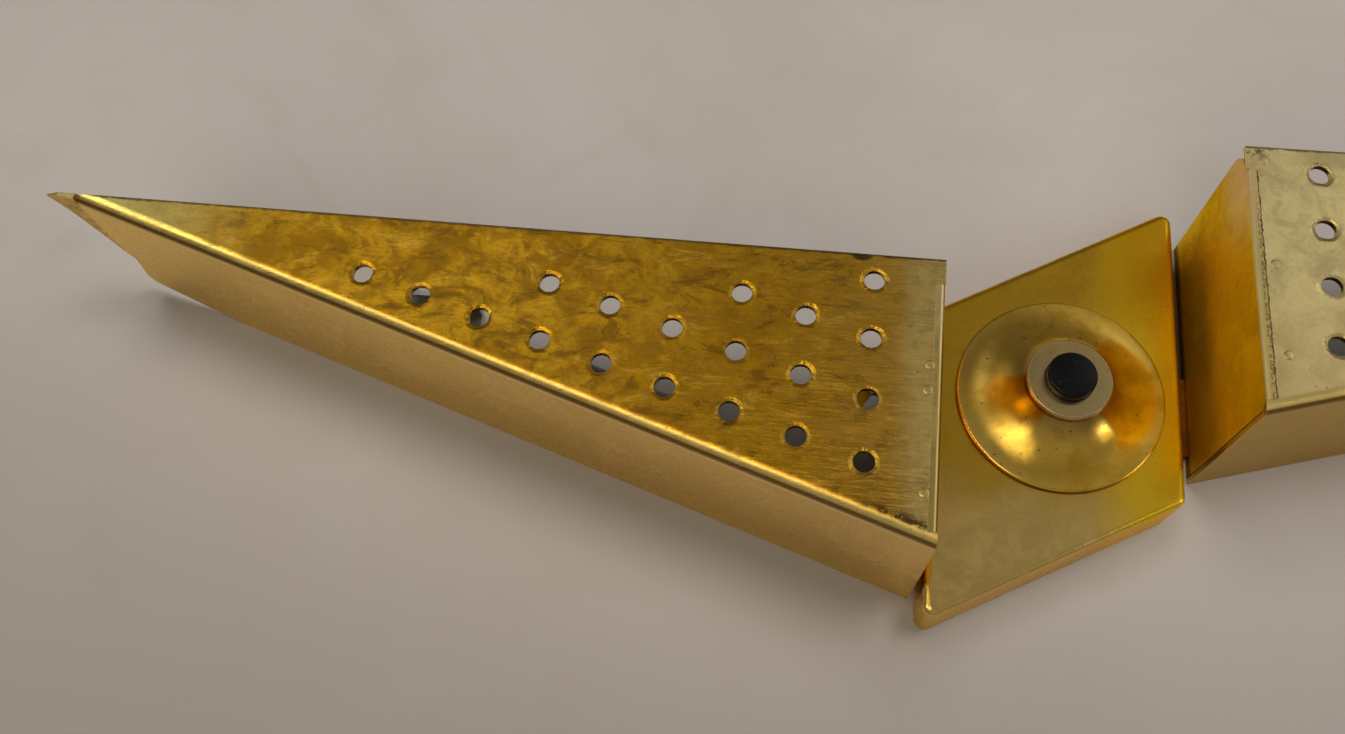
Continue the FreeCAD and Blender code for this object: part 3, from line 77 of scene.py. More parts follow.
class Tree:
    """Short calls that add and join the nodes of one node tree."""

    def __init__(self, tree):
        self.tree = tree
        tree.nodes.clear()

    def add(self, kind, inputs=None, out=0, **settings):
        """Adds a node, sets or links its inputs and returns one of its outputs."""
        made = self.tree.nodes.new(kind)
        for name, value in settings.items():
            setattr(made, name, value)
        for key, value in (inputs or {}).items():
            self.feed(made.inputs[key], value)
        return made.outputs[out] if made.outputs else made

    def feed(self, socket, value):
        """Links a socket to the input, or sets the input to a plain value."""
        if isinstance(value, bpy.types.NodeSocket):
            self.tree.links.new(value, socket)
        elif isinstance(value, (tuple, list)) and len(value) == 3 and socket.type == "RGBA":
            socket.default_value = (*value, 1.0)
        else:
            socket.default_value = value

    def math(self, operation, a, b=0.0, c=0.0):
        return self.add("ShaderNodeMath", {0: a, 1: b, 2: c}, operation=operation)

    def plus(self, a, b):
        return self.math("ADD", a, b)

    def minus(self, a, b):
        return self.math("SUBTRACT", a, b)

    def times(self, a, b):
        return self.math("MULTIPLY", a, b)

    def times_plus(self, a, b, c):
        return self.math("MULTIPLY_ADD", a, b, c)

    def length(self, a, b):
        """The length of the arrow (a, b)."""
        return self.math("SQRT", self.plus(self.times(a, a), self.times(b, b)))

    def vector(self, operation, a, b):
        return self.add("ShaderNodeVectorMath", {0: a, 1: b}, operation=operation)

    def dot(self, a, b):
        return self.add("ShaderNodeVectorMath", {0: a, 1: b}, out=1, operation="DOT_PRODUCT")

    def split(self, vector):
        """The vector's x, y and z."""
        made = self.tree.nodes.new("ShaderNodeSeparateXYZ")
        self.feed(made.inputs[0], vector)
        return made.outputs[0], made.outputs[1], made.outputs[2]

    def mix(self, factor, a, b):
        """Colour a, with b over it as far as factor goes from 0 to 1."""
        inputs = {0: factor, 6: a, 7: b}
        return self.add("ShaderNodeMix", inputs, out=2, data_type="RGBA")

    def noise(self, vector, size_mm, detail=3.0, rough=0.55, distort=0.0):
        """Noise whose blotches are about size_mm across."""
        inputs = {
            "Vector": vector,
            "Scale": 1.0 / (size_mm * MM),
            "Detail": detail,
            "Roughness": rough,
            "Distortion": distort,
        }
        return self.add("ShaderNodeTexNoise", inputs)

    def step(self, value, low, high, start=0.0, end=1.0):
        """Smooth step of value from start at low to end at high."""
        inputs = {0: value, 1: low, 2: high, 3: start, 4: end}
        return self.add("ShaderNodeMapRange", inputs, interpolation_type="SMOOTHSTEP")

    def stretch(self, vector, scale, turn=0.0):
        """The vector scaled along each axis and turned about Z."""
        inputs = {"Vector": vector, "Scale": scale, "Rotation": (0.0, 0.0, turn)}
        return self.add("ShaderNodeMapping", inputs)

    def bump(self, height, depth_mm, normal=None, strength=1.0):
        """The normal after relief depth_mm deep from a height map."""
        inputs = {"Height": height, "Distance": depth_mm * MM, "Strength": strength}
        if normal is not None:
            inputs["Normal"] = normal
        return self.add("ShaderNodeBump", inputs)

    def place(self):
        """The point's place in the row frame, in metres."""
        return self.add("ShaderNodeTexCoord", out=3)

    def rounded(self, radius_mm):
        """The normal with edges rounded over radius_mm."""
        return self.add("ShaderNodeBevel", {"Radius": radius_mm * MM}, samples=4)

    def edge(self, radius_mm):
        """1 on an edge and 0 on a plain face."""
        flat = self.add("ShaderNodeNewGeometry", out=1)
        soft = self.rounded(radius_mm)
        return self.step(self.dot(flat, soft), 0.995, 0.86)

    def surface(self, color, roughness, **inputs):
        """Finishes a material with a principled shader; names take _ for a space."""
        shader = {"Base Color": color, "Roughness": roughness}
        shader.update({name.replace("_", " "): value for name, value in inputs.items()})
        made = self.add("ShaderNodeBsdfPrincipled", shader)
        self.add("ShaderNodeOutputMaterial", {"Surface": made})


def new_material(name):
    material = bpy.data.materials.new(name)
    material.use_nodes = True
    return material, Tree(material.node_tree)


def scratches(t, place, angle, width_mm=0.06, length_mm=9.0, cut=0.62):
    """Fine parallel scratches at an angle, as a mask."""
    along = t.stretch(place, (1.0 / length_mm, 1.0 / width_mm, 1.0 / length_mm), angle)
    lines = t.add("ShaderNodeTexNoise", {"Vector": along, "Scale": 1.0 / MM, "Detail": 1.0})
    return t.step(lines, cut, cut + 0.08)


# -------------------------------------------------------------- materials

# Tint of brass seen at a grazing angle.
GRAZING = (1.0, 0.84, 0.48)
# Depth of the sheet's small waves.
WAVE = 0.05
# What age and handling leave on the brass.
RUBBED = (0.86, 0.66, 0.28)
RUBBED_RING = (0.97, 0.84, 0.50)
DARK_SMEAR = (0.24, 0.115, 0.010)
LIGHT_SMEAR = (0.95, 0.55, 0.05)
SPECK = (0.045, 0.028, 0.014)
PIT = (0.04, 0.025, 0.012)
NICK = (0.05, 0.028, 0.010)
CORROSION = (0.15, 0.08, 0.02)
CORNER_SPOT = (0.12, 0.08, 0.03)
# The shades: the bare top edge, the bend over the wall painted as a highlight over a painted shade
# line, the walls' tan with the right wall painted darker as shade, and the sheet's hidden side
# painted in shade.
TOP_EDGE = (0.12, 0.075, 0.03)
BEND_HIGHLIGHT = (1.0, 0.73, 0.23)
BELOW_BEND_SHADE = (0.30, 0.18, 0.05)
WALL_FOOT = (0.55, 0.38, 0.16)
# The walls' tan; the right wall is painted darker as shade, since it faces away from the light.
WALL_TONE_AND_SHADE = {"left": (0.90, 0.67, 0.33), "right": (0.58, 0.44, 0.23)}
# Painted shade on the underside of the face.
SHEET_BACK_SHADE = (0.15, 0.13, 0.06)
# The left face towards its ends, with the pale stripe at the wide end a painted highlight, and the
# right face's lower part and smear.
NEAR_WIDE_END = (0.72, 0.43, 0.08)
WIDE_END_HIGHLIGHT = (0.77, 0.56, 0.18)
TIP = (0.82, 0.74, 0.27)
RIGHT_LOW = (0.66, 0.46, 0.18)
RIGHT_SMEAR = (0.44, 0.33, 0.15)
# The nick in the left face's top edge: its place from the wide end and its stretch.
NICK_PLACE, NICK_STRETCH = 15.3, 0.55
# The end plates' strips (the left in the wide end's painted highlight tone), their edges (a dark
# line on the left, a painted highlight on the right), the lap beside them, and the plates' foot and
# back painted in shade and top painted as a pale reflection.
STRIPS = {"left": WIDE_END_HIGHLIGHT, "right": (0.76, 0.60, 0.26)}
STRIP_EDGE_LINE_AND_HIGHLIGHT = {"left": (0.13, 0.075, 0.02), "right": (0.95, 0.78, 0.42)}
LAP_STRENGTH = {"left": 0.12, "right": 0.7}
LAP_LIGHT = (0.78, 0.56, 0.18)
LAP_DARK = (0.26, 0.17, 0.06)
PLATE_FOOT_SHADE = (0.16, 0.055, 0.01)
PLATE_TOP_REFLECTION = (0.90, 0.66, 0.34)
PLATE_BACK_SHADE = (0.11, 0.10, 0.055)
# How far in from the wide end the strip's rim ends and its lap starts and ends.
RIM_END = (0.40, 0.16)
LAP_START, LAP_END = (0.80, 1.05), (1.75, 1.55)
# The pan's lower corner, right side and upper right corner.
PAN_LOW = (0.90, 0.66, 0.26)
PAN_RIGHT = (1.0, 0.63, 0.02)
PAN_CORNER = (0.70, 0.34, 0.008)
# The rosette's painted shade on the neck and at the upper left, painted highlight at the lower
# left, and painted shade line at the rim.
ROSE_NECK_SHADE = (0.34, 0.20, 0.07)
ROSE_LEFT_SHADE = (0.36, 0.22, 0.05)
ROSE_HIGHLIGHT = (1.0, 0.70, 0.16)
ROSE_RIM_SHADE = (0.15, 0.085, 0.025)
# The heights over which painted shade darkens the neck, and those of the rim's painted shade line.
NECK = (16.4, 20.0)
ROSE_EDGE = (14.05, 13.75)
# Steel, plastic and glass: rust, worn edges, settled dust and the glass's own tint.
RUST = (0.16, 0.075, 0.03)
STEEL_EDGE = (0.82, 0.82, 0.80)
DUST = (0.42, 0.37, 0.30)
GLASS_DUST = (0.55, 0.52, 0.46)
GLASS_CLEAR = (0.93, 0.95, 0.93)
# Vulcanised fibre: dark and light strands, clouds and sawn edges.
FIBRE_DARK = (0.11, 0.055, 0.03)
FIBRE_LIGHT = (0.27, 0.15, 0.085)
FIBRE_CLOUD = (0.07, 0.035, 0.02)
FIBRE_EDGE = (0.40, 0.27, 0.17)
# The table: its two tones, washes, marks, painted shade on the part nearest the camera, and the
# gap.
TABLE_DARK = (0.575, 0.51, 0.45)
TABLE_LIGHT = (0.63, 0.575, 0.52)
TABLE_WASH = (0.52, 0.44, 0.37)
TABLE_MARK = (0.34, 0.28, 0.22)
TABLE_NEAR_SHADE = (0.30, 0.258, 0.222)
TABLE_GAP = (0.045, 0.022, 0.010)
# The deep shade between the pan and the right end plate: where it starts and ends.
GAP_LEFT, GAP_RIGHT = (0.0240, 0.0246), (0.0286, 0.0282)
GAP_LOW, GAP_TOP = (0.000, 0.005), (0.042, 0.036)


def brass(name, clean, dull, stain, spots=0.5, roughness=0.24, patch_mm=9.0, worn=0.4,
          smears=0.0, lined=0.16, tint=None, punched=None):
    """Aged sheet brass: clean metal under patches of tarnish, specks and scratches."""
    material, t = new_material(name)
    place = t.place()
    large = t.noise(place, patch_mm * 2.2, 4.0, 0.6, 0.4)
    middle = t.noise(place, patch_mm * 0.5, 5.0, 0.65, 0.6)
    fine = t.noise(place, 0.8, 3.0, 0.6)
    patches = t.times_plus(large, 0.55, t.times(middle, 0.45))
    tarnish = t.step(patches, 0.44, 0.60)
    mottle = t.step(t.times_plus(fine, 0.35, t.times(middle, 0.65)), 0.40, 0.62)
    color = t.mix(tarnish, clean, dull)
    color = t.mix(t.times(mottle, 0.35), color, stain)
    if smears > 0.0:
        streaks = t.noise(t.stretch(place, (0.42, 1.0, 1.0), 0.22), 4.5, 8.0, 0.78, 0.9)
        dark = t.times(t.step(streaks, 0.51, 0.62), smears)
        light = t.times(t.step(streaks, 0.45, 0.37), smears)
        color = t.mix(dark, color, DARK_SMEAR)
        color = t.mix(light, color, LIGHT_SMEAR)
    normal = t.rounded(0.16)
    if tint is not None:
        color = tint(t, place, color)
    if punched is not None:
        dent, grime = punched_rims(t, place, punched)
        color = t.mix(t.times(grime, 0.45), color, stain)
        normal = t.bump(dent, 1.0, normal)
    bits = t.noise(place, 0.9, 2.0, 0.5)
    where = t.step(t.noise(place, 14.0, 2.0), 0.46, 0.66)
    speck = t.times(t.step(bits, 0.70, 0.78), t.times(where, spots))
    color = t.mix(speck, color, SPECK)
    lines = t.math("MAXIMUM", scratches(t, place, 0.35), scratches(t, place, -0.9, 0.05, 5.0, 0.64))
    color = t.mix(t.times(lines, lined), color, RUBBED)
    edges = t.edge(0.45)
    rub = t.times(edges, t.step(middle, 0.35, 0.6, 0.35, 1.0))
    color = t.mix(t.times(rub, worn), color, RUBBED)
    rough = t.times_plus(tarnish, 0.10, roughness)
    rough = t.times_plus(mottle, 0.07, rough)
    rough = t.times_plus(speck, 0.30, rough)
    normal = t.bump(t.noise(place, 26.0, 1.0), WAVE * 6.0, normal)
    normal = t.bump(t.noise(place, 5.0, 2.0), WAVE, normal, 0.6)
    normal = t.bump(fine, 0.006, normal, 0.7)
    normal = t.bump(lines, 0.05 * lined, normal, 0.5)
    t.surface(color, rough, Metallic=1.0, Normal=normal, Specular_Tint=GRAZING)
    return material


def wing_place(t, place, side):
    """u from the wide end and y up from the top edge, in millimetres."""
    end, top, hand = WINGS[side]
    x, y, _ = t.split(place)
    u = t.times_plus(x, hand / MM, -end * hand)
    return u, t.times_plus(y, 1.0 / MM, -top)


def punched_rims(t, place, side):
    """Sheet drawn in round each light hole by the punch, and the grime left there."""
    u, y = wing_place(t, place, side)
    column = t.math("DIVIDE", t.minus(u, HOLE_FIRST), HOLE_PITCH)
    column = t.math("MAXIMUM", t.math("ROUND", column), 0.0)
    rise = t.minus(t.plus(y, HOLE_DROP), t.times(column, HOLE_RISE))
    row = t.math("MAXIMUM", t.math("ROUND", t.math("DIVIDE", rise, ROW_PITCH)), 0.0)
    across = t.minus(t.minus(u, HOLE_FIRST), t.times(column, HOLE_PITCH))
    along = t.minus(rise, t.times(row, ROW_PITCH))
    away = t.length(across, along)
    number = t.times_plus(row, ROW_STEP, column)
    present = t.math("LESS_THAN", number, LAST_HOLE)
    chance = t.add("ShaderNodeTexWhiteNoise", {"W": number}, out=0, noise_dimensions="1D")
    depth = t.times(t.step(chance, 0.0, 1.0, 0.14, 0.34), present)
    ragged = t.times_plus(t.noise(place, 1.5, 2.0), 0.9, t.minus(away, 0.45))
    dent = t.times(t.step(ragged, 2.75, 1.7, 0.0, -1.0), depth)
    grime = t.times(t.step(ragged, 2.5, 1.9), present)
    return dent, grime


def side_wall(t, place, color, wall):
    """The bend is painted pale and bright as a highlight, partly rubbed metal, over a painted dark
    shade line and the wall's duller tan.
    """
    height = t.math("DIVIDE", t.split(place)[2], MM)
    # A painted highlight along the bend, partly rubbed metal, then a painted shade line below it.
    bend = t.times(t.step(height, FACE - 0.02, FACE - 0.15), 0.9)
    color = t.mix(bend, color, BEND_HIGHLIGHT)
    color = t.mix(t.step(height, FACE - 0.62, FACE - 0.9), color, BELOW_BEND_SHADE)
    color = t.mix(t.step(height, FACE - 1.3, FACE - 2.0), color, wall)
    deep = t.step(height, FACE - 8.0, 4.0, 0.0, 0.30)
    return t.mix(deep, color, WALL_FOOT)


def inside(t, place, color):
    """The hidden side of the sheet, under the face, is painted dark as shade."""
    facing = t.split(t.add("ShaderNodeNewGeometry", out=1))[2]
    # Painted shade where the face looks down, inside the wing.
    under = t.times(t.step(facing, -0.5, -0.9), t.step(t.split(place)[2], 0.030, 0.034))
    return t.mix(under, color, SHEET_BACK_SHADE)


def tint_left(t, place, color):
    """Orange metal that fades to pale olive at the wide end, painted there as a highlight, and to
    pale gold at the tip.
    """
    u, y = wing_place(t, place, "left")
    cloud = t.noise(place, 7.0, 4.0)
    near = t.step(t.times_plus(cloud, 22.0, u), 42.0, 14.0)
    color = t.mix(t.times(near, 0.45), color, NEAR_WIDE_END)
    # Painted highlight: a pale stripe along the wide end.
    ragged = t.times_plus(cloud, 5.0, u)
    band = t.step(ragged, 12.0, 6.0)
    color = t.mix(t.times(band, 0.85), color, WIDE_END_HIGHLIGHT)
    tip = t.step(t.times_plus(cloud, 30.0, u), 138.0, 192.0)
    color = t.mix(t.times(tip, 0.95), color, TIP)
    nick = t.times(t.minus(u, NICK_PLACE), NICK_STRETCH)
    drop = t.plus(y, t.times(cloud, 0.8))
    bite = t.length(nick, drop)
    color = t.mix(t.step(bite, 1.3, 0.7, 0.0, 0.9), color, NICK)
    lower = t.times_plus(u, -0.31, t.plus(y, WING_WIDTH))
    corrosion = t.times(t.step(u, 17.0, 8.0), t.step(lower, 4.6, 2.6))
    corrosion = t.times(corrosion, t.step(u, 0.8, 2.2))
    spots = t.step(t.noise(place, 2.2, 5.0, 0.75), 0.44, 0.53)
    color = t.mix(t.times(corrosion, spots), color, CORROSION)
    return inside(t, place, side_wall(t, place, top_line(t, place, y, color), WALL_TONE_AND_SHADE["left"]))


def tint_right(t, place, color):
    """Pale metal, cooler towards the top edge and warmer by the sloping wall."""
    u, y = wing_place(t, place, "right")
    cloud = t.noise(place, 9.0, 4.0)
    low = t.step(t.times_plus(cloud, 16.0, y), -14.0, -44.0)
    color = t.mix(t.times(low, 0.55), color, RIGHT_LOW)
    smear = t.times(t.step(t.times_plus(cloud, 2.5, y), -3.2, -1.6), t.step(u, 6.0, 14.0))
    color = t.mix(t.times(smear, 0.55), color, RIGHT_SMEAR)
    corner = t.times(t.step(u, 6.0, 1.5), t.step(y, -3.5, -0.6))
    spots = t.step(t.noise(place, 1.3, 4.0, 0.7), 0.46, 0.58)
    color = t.mix(t.times(corner, spots), color, CORNER_SPOT)
    return inside(t, place, side_wall(t, place, top_line(t, place, y, color), WALL_TONE_AND_SHADE["right"]))


def pan_tint(t, place, color):
    """The pan is paler towards its lower corner and orange towards the right."""
    x, y, _ = t.split(place)
    cloud = t.noise(place, 12.0, 3.0)
    low = t.times_plus(cloud, 0.014, y)
    color = t.mix(t.step(low, -0.004, -0.024, 0.0, 0.65), color, PAN_LOW)
    right = t.step(t.times_plus(cloud, 0.006, x), 0.008, 0.019, 0.0, 0.9)
    color = t.mix(right, color, PAN_RIGHT)
    return t.mix(t.times(right, t.step(y, 0.008, 0.030)), color, PAN_CORNER)


def top_line(t, place, y, color):
    """Dark line where the bare cut edge runs along the top."""
    ragged = t.times_plus(t.noise(place, 2.4, 3.0), 1.0, y)
    return t.mix(t.step(ragged, -0.15, 0.25, 0.0, 0.85), color, TOP_EDGE)


def strip_tint(side):
    """The end plate: a pale strip with a speckled lap on top, a painted highlight on the right
    strip's edge, painted shade on the foot and the back, and a painted pale reflection near the
    top.
    """

    def tint(t, place, color):
        u, y = wing_place(t, place, side)
        height = t.math("DIVIDE", t.split(place)[2], MM)
        on_top = t.step(height, FACE - 0.9, FACE - 0.3)
        color = t.mix(t.times(on_top, 0.92), color, STRIPS[side])
        lap = t.times(t.step(u, *LAP_START), t.step(u, *LAP_END))
        dots = t.step(t.noise(place, 0.7, 2.0, 0.6), 0.44, 0.54)
        speckle = t.mix(dots, LAP_LIGHT, LAP_DARK)
        color = t.mix(t.times(t.times(on_top, lap), LAP_STRENGTH[side]), color, speckle)
        # The strip's edge: a dark line on the left, a painted highlight on the right's rounded
        # edge.
        rim = t.times(on_top, t.step(u, *RIM_END))
        color = t.mix(t.times(rim, 0.85), color, STRIP_EDGE_LINE_AND_HIGHLIGHT[side])
        # Painted shade at the plate's foot, beside the shaded gap.
        low = t.times_plus(t.noise(place, 9.0, 3.0), 2.0, height)
        color = t.mix(t.step(low, 4.6, 2.6, 0.0, 0.9), color, PLATE_FOOT_SHADE)
        # A painted pale reflection on the plate's upper part.
        tan = t.times(t.step(low, 26.0, 38.0), t.step(y, -24.0, -6.0))
        color = t.mix(t.times(tan, 0.8), color, PLATE_TOP_REFLECTION)
        # Painted shade on the plate's inward and downward faces.
        away, _, up = t.split(t.add("ShaderNodeNewGeometry", out=1))
        inward = t.step(t.times(away, WINGS[side][2]), 0.5, 0.9)
        hidden = t.math("MAXIMUM", inward, t.step(up, -0.5, -0.9))
        return t.mix(t.times(hidden, 0.95), color, PLATE_BACK_SHADE)

    return tint


def rose_shade_and_highlight(t, place, color):
    """Painted shade on the neck, at the upper left and along the rim, and a painted gold highlight
    at the lower left.
    """
    x, y, z = t.split(place)
    height = t.math("DIVIDE", z, MM)
    cloud = t.noise(place, 4.0, 3.0)
    # Painted shade on the neck and at the upper left, a painted highlight at the lower left, and a
    # painted shade line at the rim.
    neck = t.step(t.times_plus(cloud, 2.0, height), *NECK)
    color = t.mix(t.times(neck, 0.7), color, ROSE_NECK_SHADE)
    left = t.step(t.times_plus(cloud, 0.006, x), 0.004, -0.012)
    high = t.step(y, -0.004, 0.004)
    color = t.mix(t.times(t.times(left, high), 0.5), color, ROSE_LEFT_SHADE)
    low = t.times(left, t.step(y, -0.003, -0.010))
    color = t.mix(t.times(low, 0.7), color, ROSE_HIGHLIGHT)
    return t.mix(t.step(height, *ROSE_EDGE, 0.0, 0.85), color, ROSE_RIM_SHADE)


def spun_brass(name, clean, dull, roughness, rubbed=0.7):
    """Brass turned or spun about the button's axis, with rings from the tool."""
    material, t = new_material(name)
    place = t.place()
    flat = t.vector("MULTIPLY", place, (1.0, 1.0, 0.0))
    radius = t.add("ShaderNodeVectorMath", {0: flat}, out=1, operation="LENGTH")
    ring_place = t.add("ShaderNodeCombineXYZ", {0: radius, 1: t.split(place)[2]})
    rings = t.noise(ring_place, 0.16, 2.0, 0.7)
    blotch = t.noise(place, 7.0, 4.0, 0.6, 0.5)
    fine = t.noise(place, 0.7, 3.0)
    color = t.mix(t.step(blotch, 0.42, 0.62), clean, dull)
    # The rosette's painted shade and highlight, laid on every spun or turned part.
    color = rose_shade_and_highlight(t, place, color)
    speck = t.step(t.noise(place, 0.8, 1.0), 0.71, 0.77)
    color = t.mix(t.times(speck, 0.8), color, PIT)
    color = t.mix(t.times(t.edge(0.4), rubbed), color, RUBBED_RING)
    rough = t.times_plus(t.step(blotch, 0.4, 0.65), 0.10, roughness)
    normal = t.bump(rings, 0.010, t.rounded(0.18), 0.55)
    normal = t.bump(t.noise(place, 5.0, 2.0), 0.10, normal, 0.6)
    normal = t.bump(fine, 0.006, normal, 0.6)
    t.surface(color, rough, Metallic=1.0, Normal=normal, Specular_Tint=GRAZING)
    return material


def steel(name, bright, dark, roughness=0.34, rust=0.25):
    """Plated steel: cloudy zinc with a little brown in the recesses."""
    material, t = new_material(name)
    place = t.place()
    cloud = t.noise(place, 3.0, 5.0, 0.65, 0.5)
    color = t.mix(t.step(cloud, 0.38, 0.64), bright, dark)
    brown = t.times(t.step(t.noise(place, 1.6, 4.0), 0.56, 0.70), rust)
    color = t.mix(brown, color, RUST)
    color = t.mix(t.times(t.edge(0.3), 0.5), color, STEEL_EDGE)
    rough = t.times_plus(cloud, 0.16, roughness)
    rough = t.times_plus(brown, 0.3, rough)
    normal = t.bump(t.noise(place, 0.35, 3.0), 0.01, t.rounded(0.10), 0.6)
    normal = t.bump(scratches(t, place, 0.1, 0.05, 12.0, 0.56), 0.01, normal, 0.4)
    t.surface(color, rough, Metallic=1.0, Normal=normal)
    return material


def moulding(name, base, light, roughness, grain_mm=0.5, gloss=0.0, depth=0.012, dusty=0.16,
             shine=0.5):
    """Moulded plastic or rubber: fine surface grain, dust and rubbed edges."""
    material, t = new_material(name)
    place = t.place()
    cloud = t.noise(place, 4.0, 4.0, 0.6, 0.3)
    dust = t.step(t.noise(place, 1.1, 4.0, 0.7), 0.55, 0.75)
    color = t.mix(t.step(cloud, 0.35, 0.68), base, light)
    color = t.mix(t.times(dust, dusty), color, DUST)
    worn = tuple(min(1.0, 2.2 * c + 0.02) for c in light)
    color = t.mix(t.times(t.edge(0.3), 0.35), color, worn)
    rough = t.times_plus(dust, 0.22, t.times_plus(cloud, 0.10, roughness))
    normal = t.bump(t.noise(place, grain_mm, 3.0), depth, t.rounded(0.12), 0.7)
    normal = t.bump(scratches(t, place, 0.8, 0.05, 2.0, 0.63), 0.01, normal, 0.4)
    t.surface(color, rough, Normal=normal, Coat_Weight=gloss, Coat_Roughness=0.08,
              Specular_IOR_Level=shine)
    return material


def fibre(name):
    """Vulcanised fibre sheet: short brown fibres, fuzzy sawn edges."""
    material, t = new_material(name)
    place = t.place()
    strands = t.noise(t.stretch(place, (0.25, 0.25, 2.0)), 0.5, 4.0, 0.7, 0.8)
    cloud = t.noise(place, 6.0, 3.0)
    color = t.mix(t.step(strands, 0.35, 0.66), FIBRE_DARK, FIBRE_LIGHT)
    color = t.mix(t.times(t.step(cloud, 0.45, 0.7), 0.4), color, FIBRE_CLOUD)
    color = t.mix(t.times(t.edge(0.35), 0.5), color, FIBRE_EDGE)
    normal = t.bump(strands, 0.04, t.rounded(0.1), 0.8)
    t.surface(color, t.times_plus(strands, 0.2, 0.55), Normal=normal)
    return material


def glass(name):
    """Clear soda glass with faint drawn streaks and a little dust."""
    material, t = new_material(name)
    place = t.place()
    dust = t.step(t.noise(place, 1.4, 4.0, 0.7), 0.52, 0.78)
    streak = t.noise(t.stretch(place, (0.1, 0.1, 1.0)), 1.5, 2.0)
    clear = t.add("ShaderNodeBsdfTransparent", {0: GLASS_CLEAR})
    normal = t.bump(streak, 0.02, None, 0.4)
    rough = t.times_plus(dust, 0.25, 0.03)
    shine = t.add("ShaderNodeBsdfGlossy", {"Roughness": rough, "Normal": normal})
    facing = t.add("ShaderNodeFresnel", {"IOR": 1.5, "Normal": normal})
    body = t.add("ShaderNodeMixShader", {0: facing, 1: clear, 2: shine})
    film = t.add("ShaderNodeBsdfDiffuse", {"Color": GLASS_DUST})
    coated = t.add("ShaderNodeMixShader", {0: t.times(dust, 0.10), 1: body, 2: film})
    t.add("ShaderNodeOutputMaterial", {"Surface": coated})
    return material


def solder(name, bright, dark):
    """Soft solder: dull grey-gold, pitted and darkened by old flux."""
    material, t = new_material(name)
    place = t.place()
    pits = t.noise(place, 0.5, 4.0, 0.7)
    flux = t.step(t.noise(place, 1.3, 4.0, 0.6, 0.6), 0.42, 0.62)
    color = t.mix(flux, bright, dark)
    rough = t.times_plus(flux, 0.35, 0.30)
    normal = t.bump(pits, 0.05, None, 0.8)
    t.surface(color, rough, Metallic=0.9, Normal=normal)
    return material


def table_top(name):
    """Pale warm-grey table, clouded, with painted shade towards the camera and in the pan's gap."""
    material, t = new_material(name)
    place = t.place()
    cloud = t.noise(place, 130.0, 5.0, 0.6, 0.6)
    wash = t.noise(place, 38.0, 4.0, 0.6, 0.8)
    color = t.mix(t.step(cloud, 0.34, 0.66), TABLE_DARK, TABLE_LIGHT)
    color = t.mix(t.times(t.step(wash, 0.52, 0.72), 0.28), color, TABLE_WASH)
    mark = t.step(t.noise(place, 3.2, 3.0), 0.71, 0.78)
    color = t.mix(t.times(mark, 0.18), color, TABLE_MARK)
    # Painted shade: the table darkens towards the camera, where the light falls off.
    near = t.step(t.split(place)[1], 0.06, -0.13)
    color = t.mix(t.times(near, 0.9), color, TABLE_NEAR_SHADE)
    x, y, _ = t.split(place)
    gap = t.times(t.step(x, *GAP_LEFT), t.step(x, *GAP_RIGHT))
    gap = t.times(gap, t.times(t.step(y, *GAP_LOW), t.step(y, *GAP_TOP)))
    color = t.mix(t.times(gap, 0.95), color, TABLE_GAP)
    normal = t.bump(t.noise(place, 1.2, 3.0), 0.01, None, 0.5)
    t.surface(color, 0.42, Normal=normal)
    return material


# Sheet brass from the most orange and clean to the palest.
CLEAN = (0.80, 0.40, 0.014)
AMBER = (0.54, 0.25, 0.008)
OLIVE = (0.34, 0.195, 0.025)
PALE = (0.89, 0.70, 0.29)

